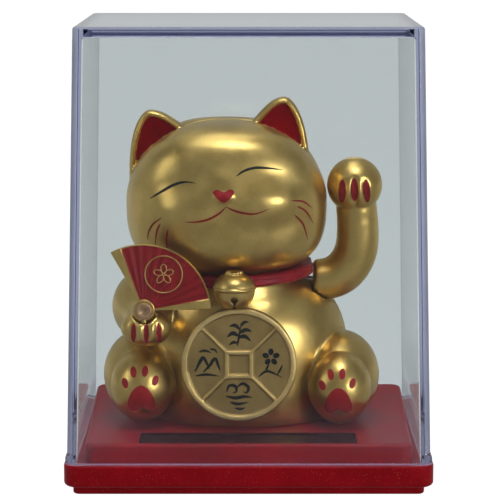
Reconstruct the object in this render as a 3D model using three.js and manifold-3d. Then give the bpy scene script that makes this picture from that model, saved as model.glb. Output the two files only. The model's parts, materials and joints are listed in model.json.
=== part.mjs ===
// Solar beckoning cat under a clear display cover.
// Millimetres, +Z up, the cat faces -Y. The origin is the centre of the base's underside.
import * as THREE from 'three';
import { mergeVertices } from 'three/addons/utils/BufferGeometryUtils.js';
import Module from 'manifold-3d';

const wasm = await Module();
wasm.setup();

// ---- Driving dimensions ----
const GAP = 0.3;
const RIM = { width: 82, depth: 66, corner: 4, bottom: 1.9, top: 6.8 };
const PLINTH = { frontHalf: 36.4, backHalf: 37.6, halfDepth: 29.8, top: 11.2, wall: 1.6 };
const BOTTOM_PLATE = { inset: 2, chamfer: 0.5, thick: 1.7 };
const COVER = { width: 80.4, depth: 64.4, top: 103.1, taper: 2.3, wall: 2.0, roof: 2.2, corner: 1.6 };
const COVER_BOTTOM = RIM.top + 0.15;
const SOLAR = { centreX: -0.15, centreY: -23.4, width: 48.5, depth: 10.6, sunk: 1.3 };
const SCREW = { x: 33, y: 25, shank: 1.0, head: 2.1, post: 3 };

const PIVOT = new THREE.Vector3(0, 2, 42.7);
const AXLE_RADIUS = 0.75;
const SHOULDER_X = 15.0;
const ARM_LEAN = THREE.MathUtils.degToRad(7);
const SHELL_WALL = 1.8;

// Rounded forms: a centre, a half-size, and how square the form is above and below its middle.
// The head's crown is its height above the middle, its brow squares the forehead, square the plan.
const HEAD = {
  at: [-5.1, 0, 62.0],
  size: [23.1, 20.0, 16.8],
  crown: 18.2,
  above: 2.1,
  below: 3.1,
  brow: 1.3,
  square: 0.28,
};
const BODY = { at: [-2, 4, 24.2], size: [25.2, 19.0, 22.0], above: 2.5, below: 3 };
const UPPER_ARM = { at: [-24.2, -1.5, 37.2], size: [7.4, 9.6, 8.2], above: 2, below: 2 };
const NECK = { outside: 15, inside: 10.4 };
const LEGS = [
  { thigh: [-24.6, -3, 21.4], foot: [-24.3, -12, 20.6] },
  { thigh: [21.2, -3, 21.2], foot: [20.8, -12, 20.1] },
];
const THIGH_SIZE = [9.1, 11.5, 10.3];
const FOOT_SIZE = [7.2, 7.2, 8.2];
const PAW = { at: [-23, -18.4, 35.3], size: [5.7, 4.4, 4.2] };
const COIN = { x: -2.2, z: 26.7, radius: 13.0, back: -16.4, thick: 2.3 };
const BELL = { at: [-3.3, -17.6, 43.2], radius: 4.8, back: -15.0 };
const FAN = { x: -23.4, y: -20.6, z: 39.7, radius: 14.9, thick: 0.9, from: 1, to: 119 };
const LEVER_X = -2;
const MAGNET = { radius: 4, height: 4, bottom: 13.2, behind: 1.4 };
const BOARD = { bottom: 3.2, thick: 1.2, width: 40, depth: 24, x: 3, y: 4 };
const COIL = { radius: 6.8, core: 2.6, flange: 0.6 };

// ---- Solids: three.js geometry joined and cut by manifold-3d ----
function solid(geometry) {
  const bare = geometry.clone();
  bare.deleteAttribute('normal');
  bare.deleteAttribute('uv');
  const merged = mergeVertices(bare, 1e-4);
  const vertProperties = new Float32Array(merged.attributes.position.array);
  const triVerts = new Uint32Array(merged.index.array);
  return new wasm.Manifold(new wasm.Mesh({ numProp: 3, vertProperties, triVerts }));
}

function geometryOf(shape) {
  const data = shape.getMesh();
  const geometry = new THREE.BufferGeometry();
  geometry.setAttribute('position', new THREE.BufferAttribute(data.vertProperties.slice(), 3));
  geometry.setIndex(new THREE.BufferAttribute(data.triVerts.slice(), 1));
  return geometry;
}

function join(...shapes) {
  return shapes.reduce((all, next) => all.add(next));
}

function ball(at, size, across = 24, down = 14) {
  const geometry = new THREE.SphereGeometry(1, across, down).rotateX(Math.PI / 2);
  return solid(geometry.scale(...size).translate(...at));
}

function shrunk(size, shrink) {
  return size.map((value) => value - shrink);
}

// A ball squared off by its exponents: 2 is an ellipsoid, more is fuller at the shoulders.
function roundedForm(form, shrink, across) {
  const { at, size, above, below, crown = form.size[2], brow = 0, square = 0 } = form;
  const lift = (crown - shrink) / (size[2] - shrink);
  const geometry = new THREE.SphereGeometry(1, across, across / 2).rotateX(Math.PI / 2);
  const position = geometry.attributes.position;
  const point = new THREE.Vector3();
  for (let i = 0; i < position.count; i += 1) {
    point.fromBufferAttribute(position, i);
    const plan = Math.max(Math.hypot(point.x, point.y), 1e-6);
    const power = point.z > 0 ? above + brow * (point.y / plan) ** 2 : below;
    const flat = plan / (1 + square * ((point.x * point.y) / plan ** 2) ** 2);
    point.multiplyScalar((flat ** power + Math.abs(point.z) ** power) ** (-1 / power));
    position.setXYZ(i, point.x, point.y, point.z > 0 ? point.z * lift : point.z);
  }
  geometry.scale(...shrunk(size, shrink));
  return solid(geometry.translate(...at));
}

function block(low, high) {
  const size = high.map((value, i) => value - low[i]);
  const middle = high.map((value, i) => (value + low[i]) / 2);
  return solid(new THREE.BoxGeometry(...size).translate(...middle));
}

// A round rod between two points, with its own radius at each end.
function rod(from, to, radiusFrom, radiusTo = radiusFrom, sides = 20) {
  const start = new THREE.Vector3(...from);
  const end = new THREE.Vector3(...to);
  const along = end.clone().sub(start);
  const geometry = new THREE.CylinderGeometry(radiusTo, radiusFrom, along.length(), sides);
  const up = new THREE.Vector3(0, 1, 0);
  geometry.applyQuaternion(new THREE.Quaternion().setFromUnitVectors(up, along.normalize()));
  const middle = start.add(end).multiplyScalar(0.5);
  return solid(geometry.translate(middle.x, middle.y, middle.z));
}

// A round tube whose radius follows radiusAt(0..1) along a curve.
function limb(curve, radiusAt, sides = 18, steps = 14) {
  const geometry = new THREE.CylinderGeometry(1, 1, 1, sides, steps);
  const frames = curve.computeFrenetFrames(steps);
  const position = geometry.attributes.position;
  const point = new THREE.Vector3();
  for (let i = 0; i < position.count; i += 1) {
    point.fromBufferAttribute(position, i);
    const step = Math.round((point.y + 0.5) * steps);
    const radius = radiusAt(step / steps);
    const centre = curve.getPointAt(step / steps);
    centre.addScaledVector(frames.normals[step], -point.x * radius);
    centre.addScaledVector(frames.binormals[step], point.z * radius);
    position.setXYZ(i, centre.x, centre.y, centre.z);
  }
  return solid(geometry);
}

// A trapezium with rounded corners, seen from above.
function roundedOutline(frontHalf, backHalf, halfDepth, corner) {
  const corners = [
    [-frontHalf, -halfDepth],
    [frontHalf, -halfDepth],
    [backHalf, halfDepth],
    [-backHalf, halfDepth],
  ].map(([x, y]) => new THREE.Vector2(x, y));
  const shape = new THREE.Shape();
  corners.forEach((at, i) => {
    const before = corners[(i + 3) % 4].clone().sub(at).setLength(corner).add(at);
    const after = corners[(i + 1) % 4].clone().sub(at).setLength(corner).add(at);
    if (i === 0) {
      shape.moveTo(before.x, before.y);
    } else {
      shape.lineTo(before.x, before.y);
    }
    shape.quadraticCurveTo(at.x, at.y, after.x, after.y);
  });
  shape.closePath();
  return shape;
}

function slab(outline, bottom, top, bevel = 0) {
  const geometry = new THREE.ExtrudeGeometry(outline, {
    depth: top - bottom - 2 * bevel,
    bevelEnabled: bevel > 0,
    bevelThickness: bevel,
    bevelSize: bevel,
    bevelOffset: -bevel,
    bevelSegments: 1,
    curveSegments: 3,
  });
  return solid(geometry.translate(0, 0, bottom + bevel));
}

// ---- Materials ----
function paint(color, roughness, metalness, extra = {}) {
  return new THREE.MeshStandardMaterial({ color, roughness, metalness, ...extra });
}

const GOLD = () => paint(0xb8964f, 0.32, 0.85);
const RED_PLASTIC = () => paint(0xa80f18, 0.3, 0);
const RED_PAINT = () => paint(0x9c2028, 0.35, 0);
const CLEAR = () => paint(0xe8ecf4, 0.05, 0, { transparent: true, opacity: 0.25 });
const STEEL = () => paint(0xb9bcc0, 0.3, 1);
const WHITE_PLASTIC = () => paint(0xe4e2da, 0.5, 0);

const figurine = new THREE.Group();

function add(name, shape, material) {
  const mesh = new THREE.Mesh(geometryOf(shape), material);
  mesh.name = name;
  figurine.add(mesh);
}

// ---- Display cover: a tapered clear box, open below, with a lip at its mouth ----
function coverBlock(shrink, bottom, top) {
  const geometry = new THREE.ExtrudeGeometry(
    roundedOutline(
      COVER.width / 2 - shrink,
      COVER.width / 2 - shrink,
      COVER.depth / 2 - shrink,
      COVER.corner - shrink / 2,
    ),
    { depth: top - bottom, bevelEnabled: false, curveSegments: 4, steps: 1 },
  );
  const position = geometry.attributes.position;
  for (let i = 0; i < position.count; i += 1) {
    const height = position.getZ(i) / (COVER.top - COVER_BOTTOM);
    const narrowX = 1 - (COVER.taper * height) / (COVER.width / 2);
    const narrowY = 1 - (COVER.taper * height) / (COVER.depth / 2);
    position.setXY(i, position.getX(i) * narrowX, position.getY(i) * narrowY);
  }
  return solid(geometry.translate(0, 0, bottom));
}

function displayCover() {
  const halfWidth = COVER.width / 2;
  const lip = slab(
    roundedOutline(halfWidth + 0.4, halfWidth + 0.4, COVER.depth / 2 + 0.4, COVER.corner),
    COVER_BOTTOM,
    COVER_BOTTOM + 2,
    0.2,
  );
  const outside = coverBlock(0, COVER_BOTTOM, COVER.top).add(lip);
  const inside = coverBlock(COVER.wall, COVER_BOTTOM - 1, COVER.top - COVER.roof);
  return outside.subtract(inside);
}

// ---- Base ----
const screwPlaces = [
  [-SCREW.x, -SCREW.y],
  [SCREW.x, -SCREW.y],
  [SCREW.x, SCREW.y],
  [-SCREW.x, SCREW.y],
];
const catScrewPlaces = [
  [-17, 15],
  [13, 15],
];
const frameScrewPlaces = [-5.4, 1.4];
const FRAME_SCREW_Z = 39.2;
const pegPlaces = [
  [LEGS[0].thigh[0], -4],
  [LEGS[1].thigh[0], -4],
];

function plinthOutline(inset) {
  return roundedOutline(
    PLINTH.frontHalf - inset,
    PLINTH.backHalf - inset,
    PLINTH.halfDepth - inset,
    Math.max(2.2 - inset, 0.6),
  );
}

function solarPocket(sideways, bottom, top) {
  return block(
    [SOLAR.centreX - SOLAR.width / 2 - sideways, SOLAR.centreY - SOLAR.depth / 2 - sideways, bottom],
    [SOLAR.centreX + SOLAR.width / 2 + sideways, SOLAR.centreY + SOLAR.depth / 2 + sideways, top],
  );
}

function baseUpper() {
  const halfWidth = RIM.width / 2;
  const halfDepth = RIM.depth / 2;
  const rim = slab(roundedOutline(halfWidth, halfWidth, halfDepth, RIM.corner), RIM.bottom, RIM.top, 0.4);
  const plinth = slab(plinthOutline(0), RIM.top - 1, PLINTH.top, 0.7);
  const ceiling = PLINTH.top - PLINTH.wall;
  const hollow = slab(plinthOutline(PLINTH.wall), RIM.bottom - 1, ceiling);
  const pocketFloor = solarPocket(1, ceiling - 1, ceiling + 0.1);
  const floorInside = pocketFloor.intersect(slab(plinthOutline(PLINTH.wall - 0.4), 0, PLINTH.top));
  let base = rim.add(plinth).subtract(hollow).add(floorInside);
  base = base.subtract(solarPocket(0, PLINTH.top - SOLAR.sunk, PLINTH.top + 1));
  for (const [x, y] of screwPlaces) {
    base = base.add(rod([x, y, RIM.bottom + 0.1], [x, y, ceiling + 0.4], SCREW.post, SCREW.post, 12));
    base = base.subtract(rod([x, y, 0], [x, y, ceiling - 1.2], SCREW.shank + GAP, SCREW.shank + GAP, 8));
  }
  for (const [x, y] of catScrewPlaces) {
    const hole = SCREW.shank + GAP;
    base = base.subtract(rod([x, y, ceiling - 1], [x, y, PLINTH.top + 1], hole, hole, 8));
  }
  for (const [x, y] of pegPlaces) {
    base = base.subtract(rod([x, y, ceiling - 1], [x, y, PLINTH.top + 1], 1.8, 1.8, 8));
  }
  const leadHole = rod([0, SOLAR.centreY, ceiling - 3], [0, SOLAR.centreY, PLINTH.top], 2.2, 2.2, 8);
  return base.subtract(leadHole);
}

function baseLower() {
  const halfWidth = RIM.width / 2 - BOTTOM_PLATE.inset;
  const halfDepth = RIM.depth / 2 - BOTTOM_PLATE.inset;
  const outline = roundedOutline(halfWidth, halfWidth, halfDepth, RIM.corner - 1);
  let plate = slab(outline, 0, BOTTOM_PLATE.thick, BOTTOM_PLATE.chamfer);
  for (const [x, y] of screwPlaces) {
    plate = plate.subtract(rod([x, y, -1], [x, y, 1], SCREW.head + GAP, SCREW.head + GAP, 12));
    plate = plate.subtract(rod([x, y, 0], [x, y, 4], SCREW.shank + GAP, SCREW.shank + GAP, 8));
  }
  const supports = [-1, 1].flatMap((sideX) => [-1, 1].map((sideY) => [
    BOARD.x + sideX * (BOARD.width / 2 - 3),
    BOARD.y + sideY * (BOARD.depth / 2 - 3),
  ]));
  for (const [x, y] of supports) {
    plate = plate.add(rod([x, y, 1], [x, y, BOARD.bottom - 0.1], 2, 2, 8));
  }
  return plate;
}

// A cross-head screw, head down, with its tip pointing up.
function screw(x, y, headBottom, tip) {
  const head = rod([x, y, headBottom], [x, y, headBottom + 0.9], SCREW.head - 0.3, SCREW.head, 12);
  const shank = rod([x, y, headBottom + 0.5], [x, y, tip], SCREW.shank, SCREW.shank * 0.8, 8);
  const slotA = block([x - 1.2, y - 0.25, headBottom - 1], [x + 1.2, y + 0.25, headBottom + 0.4]);
  const slotB = block([x - 0.25, y - 1.2, headBottom - 1], [x + 0.25, y + 1.2, headBottom + 0.4]);
  return head.add(shank).subtract(slotA).subtract(slotB);
}

// ---- Electronics in the base ----
function circuitBoard() {
  const { x, y, width, depth, bottom, thick } = BOARD;
  return block([x - width / 2, y - depth / 2, bottom], [x + width / 2, y + depth / 2, bottom + thick]);
}

const BOARD_TOP = BOARD.bottom + BOARD.thick + 0.1;
const COIL_TOP = PLINTH.top - PLINTH.wall - 0.4;
const COIL_Y = PIVOT.y + MAGNET.behind;

function coilBobbin() {
  const spot = (z) => [LEVER_X, COIL_Y, z];
  const flange = (bottom) => rod(spot(bottom), spot(bottom + COIL.flange), COIL.radius);
  const core = rod([LEVER_X, COIL_Y, BOARD_TOP], [LEVER_X, COIL_Y, COIL_TOP], COIL.core);
  return join(flange(BOARD_TOP), core, flange(COIL_TOP - COIL.flange));
}

function coilWinding() {
  const bottom = BOARD_TOP + COIL.flange + 0.1;
  const top = COIL_TOP - COIL.flange - 0.1;
  const outside = rod([LEVER_X, COIL_Y, bottom], [LEVER_X, COIL_Y, top], COIL.radius - 0.5);
  return outside.subtract(rod([LEVER_X, COIL_Y, bottom - 1], [LEVER_X, COIL_Y, top + 1], COIL.core + 0.1));
}

function leadWire(side) {
  const x = side * 1;
  const curve = new THREE.CatmullRomCurve3([
    new THREE.Vector3(x, SOLAR.centreY, PLINTH.top - SOLAR.sunk - 0.2),
    new THREE.Vector3(x, SOLAR.centreY, 7.6),
    new THREE.Vector3(x + side * 2, SOLAR.centreY + 5, 6.4),
    new THREE.Vector3(x + side * 5, -12, 6.4),
    new THREE.Vector3(x + side * 6 + 2, -6.4, BOARD_TOP + 0.6),
  ]);
  const section = new THREE.Shape().absarc(0, 0, 0.5, 0, Math.PI * 2);
  return solid(new THREE.ExtrudeGeometry(section, {
    steps: 10,
    curveSegments: 4,
    extrudePath: curve,
  }));
}

// ---- Cat: head, ears, belly, legs and the arm that holds the fan, as one outer form ----
function ear(outline, from, to) {
  const geometry = new THREE.ExtrudeGeometry(outline, {
    depth: to - from - 1.2,
    bevelEnabled: true,
    bevelThickness: 0.6,
    bevelSize: 0.5,
    bevelOffset: -0.5,
    bevelSegments: 1,
    curveSegments: 5,
  });
  geometry.rotateX(Math.PI / 2);
  return solid(geometry.translate(0, to - 0.6, 0));
}

// A rounded triangle that starts and ends inside the head.
function earOutline(outerFoot, tip, innerFoot, lean) {
  const shape = new THREE.Shape();
  shape.moveTo(...outerFoot);
  shape.bezierCurveTo(
    outerFoot[0] - 0.3 * lean,
    (outerFoot[1] + tip[1]) / 2 + 2,
    tip[0] - 2.6 * lean,
    tip[1],
    ...tip,
  );
  shape.bezierCurveTo(
    tip[0] + 3.0 * lean,
    tip[1],
    (tip[0] + innerFoot[0]) / 2 + 0.6 * lean,
    (tip[1] + innerFoot[1]) / 2 + 1.2,
    ...innerFoot,
  );
  shape.closePath();
  return shape;
}

const leftEar = earOutline([-27.2, 68], [-22.6, 82.5], [-12.4, 76.5], 1);
const rightEar = earOutline([13.9, 69], [8.2, 85.5], [-1.0, 77.5], -1);

function leg({ thigh, foot }, shrink) {
  if (shrink > 0) {
    return ball(thigh, shrunk(THIGH_SIZE, shrink), 10, 6);
  }
  return ball(thigh, THIGH_SIZE, 16, 8).add(ball(foot, FOOT_SIZE, 16, 8));
}

function catForm(shrink) {
  const across = shrink > 0 ? 12 : 20;
  const head = roundedForm(HEAD, shrink, across);
  const body = roundedForm(BODY, shrink, across);
  const upperArm = roundedForm(UPPER_ARM, shrink, shrink > 0 ? 10 : 16);
  const neckWidth = shrink > 0 ? NECK.inside : NECK.outside;
  const neck = rod([-3.6, 2, 40], [-4.4, 1.5, 52], neckWidth, neckWidth - 2, across);
  return join(head, neck, body, upperArm, ...LEGS.map((one) => leg(one, shrink)));
}

function catOutside() {
  const forearm = rod([-24, -4, 36.8], [-23, -16.5, 35.6], 6.2, 4.4, 12);
  const paw = ball(PAW.at, PAW.size, 14, 8);
  const ears = ear(leftEar, -2.6, 1.8).add(ear(rightEar, -2.6, 1.8));
  return join(catForm(0), forearm, paw, ears);
}

// Room for the arm's round end, which turns in the right shoulder.
function shoulderPocket() {
  return rod([SHOULDER_X - 0.4, PIVOT.y, PIVOT.z], [30, PIVOT.y, PIVOT.z], 5.1, 5.1, 20);
}

function neckGroove() {
  return collarBand(0.3);
}

function collarBand(grow) {
  const middle = [-3.3, 0.9, 45.5];
  const ring = (halfX, halfY, half) => solid(
    new THREE.CylinderGeometry(1, 1, 2 * half, 26).rotateX(Math.PI / 2)
      .scale(halfX, halfY, 1).rotateX(0.05).rotateY(-0.03).translate(...middle),
  );
  const outside = ring(18.6 + grow, 15.4 + grow, 1.3 + grow);
  const inside = ring(14.4 - grow, 11.4 - grow, 4);
  return outside.subtract(inside);
}

function catBlank() {
  const floorCut = block([-60, -60, -20], [60, 60, PLINTH.top + 0.1]);
  let cat = catOutside().subtract(floorCut);
  const cavity = catForm(SHELL_WALL).subtract(block([-60, -60, -20], [60, 60, PLINTH.top - 5]));
  cat = cat.subtract(cavity);
  for (const [x, y] of catScrewPlaces) {
    cat = cat.add(rod([x, y, PLINTH.top + 0.1], [x, y, 24], 2.7, 2.7, 8));
    cat = cat.subtract(rod([x, y, 0], [x, y, 19], SCREW.shank + GAP, SCREW.shank + GAP, 8));
  }
  for (const [x, y] of pegPlaces) {
    cat = cat.add(rod([x, y, 9.8], [x, y, 14], 1.5, 1.5, 8));
  }
  for (const x of frameScrewPlaces) {
    cat = cat.add(rod([x, 10.3, FRAME_SCREW_Z], [x, 17.4, FRAME_SCREW_Z], 2, 2, 8));
    cat = cat.subtract(rod([x, 8, FRAME_SCREW_Z], [x, 15.2, FRAME_SCREW_Z], 0.9, 0.9, 8));
  }
  const axleRoom = AXLE_RADIUS + 0.5;
  const axleHole = rod([2, PIVOT.y, PIVOT.z], [30, PIVOT.y, PIVOT.z], axleRoom, axleRoom, 8);
  const coinHole = rod([COIN.x, -20, COIN.z], [COIN.x, -10, COIN.z], 2.3, 2.3, 10);
  const bellHole = rod([BELL.at[0], -20, 42.2], [BELL.at[0], -6, 42.2], 1.4, 1.4, 8);
  const fanHole = rod([FAN.x, FAN.y, 34], [FAN.x, FAN.y, 50], 1.3, 1.3, 8);
  const fanBack = FAN.y + FAN.thick / 2 + GAP;
  const fanRoom = rod([FAN.x, fanBack, FAN.z], [FAN.x, -30, FAN.z], 2.6 + GAP, 2.6 + GAP, 14);
  return [shoulderPocket(), neckGroove(), axleHole, coinHole, bellHole, fanHole, fanRoom]
    .reduce((left, cut) => left.subtract(cut), cat);
}

// The shells meet at the plane through the arm's axle, with a fine parting line.
const frontHalfSpace = block([-60, -60, -10], [60, PIVOT.y - 0.05, 120]);
const rearHalfSpace = block([-60, PIVOT.y + 0.05, -10], [60, 60, 120]);

// ---- Coin, bell and fan ----
function coin() {
  const { x, z, radius, back, thick } = COIN;
  const front = back - thick;
  const disc = rod([x, back, z], [x, front, z], radius, radius, 44);
  const dish = rod([x, front + 0.6, z], [x, front - 1, z], radius - 1.6, radius - 1.3, 44);
  const frame = block([x - 3.2, front, z - 3.2], [x + 3.2, back, z + 3.2]);
  const window = block([x - 2.2, front - 1, z - 2.2], [x + 2.2, front + 0.5, z + 2.2]);
  let face = disc.subtract(dish).add(frame).subtract(window);
  for (let i = 0; i < 4; i += 1) {
    const angle = Math.PI / 4 + (i * Math.PI) / 2;
    const geometry = new THREE.BoxGeometry(7.6, 0.7, 1).rotateY(-angle);
    const reach = 7.9;
    geometry.translate(x + reach * Math.cos(angle), front + 0.5, z + reach * Math.sin(angle));
    face = face.add(solid(geometry));
  }
  return face.add(rod([x, back - 0.5, z], [x, -13.4, z], 2, 2, 14));
}

function bell() {
  const [x, y, z] = BELL.at;
  const globe = ball(BELL.at, [BELL.radius, BELL.radius, BELL.radius], 18, 12);
  const flange = rod([x, y, z - 0.45], [x, y, z + 0.45], BELL.radius + 0.35, BELL.radius + 0.35, 22);
  const slit = block([x - 0.35, y - 8, z - 8], [x + 0.35, y, z - 1.4]);
  const hole = rod([x, y - 8, z - 1.4], [x, y, z - 1.4], 0.9, 0.9, 12);
  const behind = block([x - 9, BELL.back, z - 9], [x + 9, 0, z + 9]);
  const clear = COIN.radius + GAP;
  const coinRoom = rod([COIN.x, -30, COIN.z], [COIN.x, -10, COIN.z], clear, clear, 44);
  const peg = rod([x, y + 1, 42.2], [x, -9, 42.2], 1.1, 1.1, 12);
  return globe.add(flange).subtract(behind).subtract(slit).subtract(hole).subtract(coinRoom).add(peg);
}

function fanSector(inner, outer, fromDegrees, toDegrees) {
  const from = THREE.MathUtils.degToRad(fromDegrees);
  const to = THREE.MathUtils.degToRad(toDegrees);
  const shape = new THREE.Shape();
  shape.absarc(0, 0, outer, from, to, false);
  shape.absarc(0, 0, inner, to, from, true);
  shape.closePath();
  return shape;
}

function fanSlice(outline, front, back, curveSegments = 12) {
  const geometry = new THREE.ExtrudeGeometry(outline, {
    depth: back - front,
    bevelEnabled: false,
    curveSegments,
  });
  return solid(geometry.rotateX(Math.PI / 2).translate(FAN.x, back, FAN.z));
}

function fan() {
  const { x, y, z, radius, thick, from, to } = FAN;
  const front = y - thick / 2;
  const back = y + thick / 2;
  const leaf = fanSlice(fanSector(1.6, radius - 0.3, from, to), front, back);
  const edge = fanSlice(fanSector(radius - 0.9, radius, from, to), front - 0.2, back);
  const guard = (start) => fanSlice(fanSector(2.4, radius, start, start + 11), front - 0.3, back, 4);
  const guards = [from, to - 11].map(guard);
  const hub = rod([x, back, z], [x, front - 0.1, z], 2.6, 2.6, 20);
  const stub = rod([x, y, z - 1], [x, y, 34.6], 0.75, 0.75, 10);
  const rivetHole = rod([x, y - 5, z], [x, y + 5, z], 0.9, 0.9, 12);
  return join(leaf, edge, ...guards, hub, stub).subtract(rivetHole);
}

function fanRivet() {
  const { x, y, z } = FAN;
  const head = rod([x, y - 1.7, z], [x, y - 0.9, z], 1.6, 1.95, 20);
  return head.add(rod([x, y - 1, z], [x, y + 0.4, z], 0.65, 0.65, 12));
}

// ---- Beckoning arm: two hollow halves on a steel axle, balanced by a pendulum ----
function armForm(shrink) {
  const path = new THREE.CatmullRomCurve3([
    new THREE.Vector3(SHOULDER_X + shrink, 0, 0),
    new THREE.Vector3(19.0, 0, 0.2),
    new THREE.Vector3(22.4, 0, 2.2),
    new THREE.Vector3(24.6, 0, 6.4),
    new THREE.Vector3(25.0, 0, 12.0),
    new THREE.Vector3(24.6, 0, 19.5),
  ]);
  const radiusAt = (t) => 4.45 + 0.35 * Math.sin(Math.PI * t) - shrink;
  const hollow = shrink > 0;
  const paw = ball([24.4, 0, 22.7], shrunk([6.35, 6.2, 6.4], shrink), hollow ? 10 : 16, hollow ? 6 : 10);
  return limb(path, radiusAt, hollow ? 8 : 14, hollow ? 6 : 9).add(paw);
}

function armBlank() {
  const rawOutside = armForm(0);
  const hubWall = rod([SHOULDER_X, 0, 0], [19.6, 0, 0], 4, 4, 12);
  const inside = armForm(1.3).subtract(hubWall);
  const bore = rod([0, 0, 0], [18.9, 0, 0], AXLE_RADIUS + 0.15, AXLE_RADIUS + 0.15, 16);
  return rawOutside.subtract(inside).subtract(bore);
}

function onPivot(shape) {
  const lean = THREE.MathUtils.radToDeg(ARM_LEAN);
  return shape.rotate([lean, 0, 0]).translate([0, PIVOT.y, PIVOT.z]);
}

function armHalf(side) {
  const low = side > 0 ? 0.04 : -30;
  const high = side > 0 ? 30 : -0.04;
  return onPivot(armBlank().intersect(block([0, low, -30], [60, high, 60])));
}

function pendulumLever() {
  const x = LEVER_X;
  const { y, z } = PIVOT;
  const magnetTop = MAGNET.bottom + MAGNET.height + 0.1;
  const foot = y + MAGNET.behind;
  const hub = rod([x - 2.5, y, z], [x + 2.5, y, z], 2.4, 2.4, 20);
  const tilt = (Math.atan2(MAGNET.behind, z - magnetTop) * 180) / Math.PI;
  const straight = block([x - 1.6, -0.9, -(z - magnetTop) + 0.4], [x + 1.6, 0.9, 0]);
  const cup = rod([x, foot, magnetTop], [x, foot, magnetTop + 1.2], MAGNET.radius + 0.6, MAGNET.radius, 24);
  const bore = rod([x - 6, y, z], [x + 6, y, z], AXLE_RADIUS + 0.1, AXLE_RADIUS + 0.1, 16);
  const arm = straight.rotate([tilt, 0, 0]).translate([0, y, z]);
  return join(hub, arm, cup).subtract(bore);
}

function pendulumMagnet() {
  const y = PIVOT.y + MAGNET.behind;
  const top = MAGNET.bottom + MAGNET.height;
  return rod([LEVER_X, y, MAGNET.bottom], [LEVER_X, y, top], MAGNET.radius, MAGNET.radius, 24);
}

function pivotFrame() {
  const { y, z } = PIVOT;
  const cheek = (x) => block([x, y - 2.8, z - 3], [x + 1.6, 5, z + 2.3])
    .add(block([x, y - 2.8, z - 6], [x + 1.6, 10, z - 0.7]));
  const back = block([-8.6, 8.4, z - 6], [4.6, 10, z - 0.7]);
  const bore = rod([-20, y, z], [20, y, z], AXLE_RADIUS + GAP, AXLE_RADIUS + GAP, 16);
  const screwHole = (x) => rod([x, 7, FRAME_SCREW_Z], [x, 12, FRAME_SCREW_Z], 0.9, 0.9, 12);
  const holes = join(...frameScrewPlaces.map(screwHole));
  return join(cheek(-8.6), cheek(3), back).subtract(bore).subtract(holes);
}

function frameScrew(x) {
  const head = rod([x, 7.4, FRAME_SCREW_Z], [x, 8.3, FRAME_SCREW_Z], 1.3, 1.4, 16);
  return head.add(rod([x, 8, FRAME_SCREW_Z], [x, 14.6, FRAME_SCREW_Z], 0.65, 0.5, 12));
}

// ---- Assembly ----
add('display_cover', displayCover(), CLEAR());
add('base_upper', baseUpper(), RED_PLASTIC());
add('base_lower', baseLower(), RED_PLASTIC());
screwPlaces.forEach(([x, y], i) => add(`base_screw_${i + 1}`, screw(x, y, 0.1, 7.6), STEEL()));
catScrewPlaces.forEach(([x, y], i) => add(`cat_screw_${i + 1}`, screw(x, y, 8.5, 17.5), STEEL()));
const solarCell = solarPocket(-0.25, PLINTH.top - SOLAR.sunk + 0.1, PLINTH.top - 0.5);
add('solar_cell', solarCell, paint(0x2c2226, 0.15, 0.1));
add('circuit_board', circuitBoard(), paint(0x2f7a4a, 0.5, 0));
add('coil_bobbin', coilBobbin(), WHITE_PLASTIC());
add('coil_winding', coilWinding(), paint(0xb5653a, 0.35, 0.9));
const capacitor = rod([16, 9, BOARD_TOP], [16, 9, COIL_TOP - GAP], 3, 3, 20);
add('storage_capacitor', capacitor, paint(0x20242a, 0.35, 0.1));
add('controller_chip', block([10, -4, BOARD_TOP], [15, 0, BOARD_TOP + 1.4]), paint(0x17181a, 0.5, 0));
add('lead_wire_red', leadWire(1), paint(0xb01818, 0.5, 0));
add('lead_wire_black', leadWire(-1), paint(0x181818, 0.5, 0));

const cat = catBlank();
add('body_front_shell', cat.intersect(frontHalfSpace), GOLD());
add('body_rear_shell', cat.intersect(rearHalfSpace), GOLD());
add('collar', collarBand(0).subtract(shoulderPocket()), RED_PAINT());
add('bell', bell(), GOLD());
add('coin', coin(), GOLD());
add('fan', fan(), RED_PAINT());
add('fan_rivet', fanRivet(), GOLD());
add('arm_front_half', armHalf(-1), GOLD());
add('arm_rear_half', armHalf(1), GOLD());
const axle = rod([-9.8, PIVOT.y, PIVOT.z], [18.6, PIVOT.y, PIVOT.z], AXLE_RADIUS, AXLE_RADIUS, 16);
add('arm_axle', axle, STEEL());
add('pendulum_lever', pendulumLever(), WHITE_PLASTIC());
add('pendulum_magnet', pendulumMagnet(), paint(0x8c9096, 0.35, 0.9));
add('pivot_frame', pivotFrame(), WHITE_PLASTIC());
frameScrewPlaces.forEach((x, i) => add(`frame_screw_${i + 1}`, frameScrew(x), STEEL()));

export default figurine;
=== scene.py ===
"""Looks of the solar beckoning cat: shells, painted details, clear cover, materials and stage."""

import json
import math

import bpy
import numpy as np
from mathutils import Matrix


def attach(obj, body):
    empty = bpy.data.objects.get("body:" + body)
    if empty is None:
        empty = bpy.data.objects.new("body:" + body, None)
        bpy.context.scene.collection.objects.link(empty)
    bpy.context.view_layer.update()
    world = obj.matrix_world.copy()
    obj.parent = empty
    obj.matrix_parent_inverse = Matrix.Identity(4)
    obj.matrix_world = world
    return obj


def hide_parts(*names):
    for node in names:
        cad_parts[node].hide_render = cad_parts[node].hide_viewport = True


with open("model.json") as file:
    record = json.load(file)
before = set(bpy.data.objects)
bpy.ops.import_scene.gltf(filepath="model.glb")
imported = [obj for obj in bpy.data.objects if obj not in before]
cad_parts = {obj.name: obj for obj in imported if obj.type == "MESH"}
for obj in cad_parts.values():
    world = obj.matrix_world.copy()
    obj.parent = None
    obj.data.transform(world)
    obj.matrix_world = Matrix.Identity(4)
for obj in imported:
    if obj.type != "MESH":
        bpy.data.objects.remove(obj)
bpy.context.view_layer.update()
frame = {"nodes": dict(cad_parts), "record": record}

import openvdb
from mathutils import Vector

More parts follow.
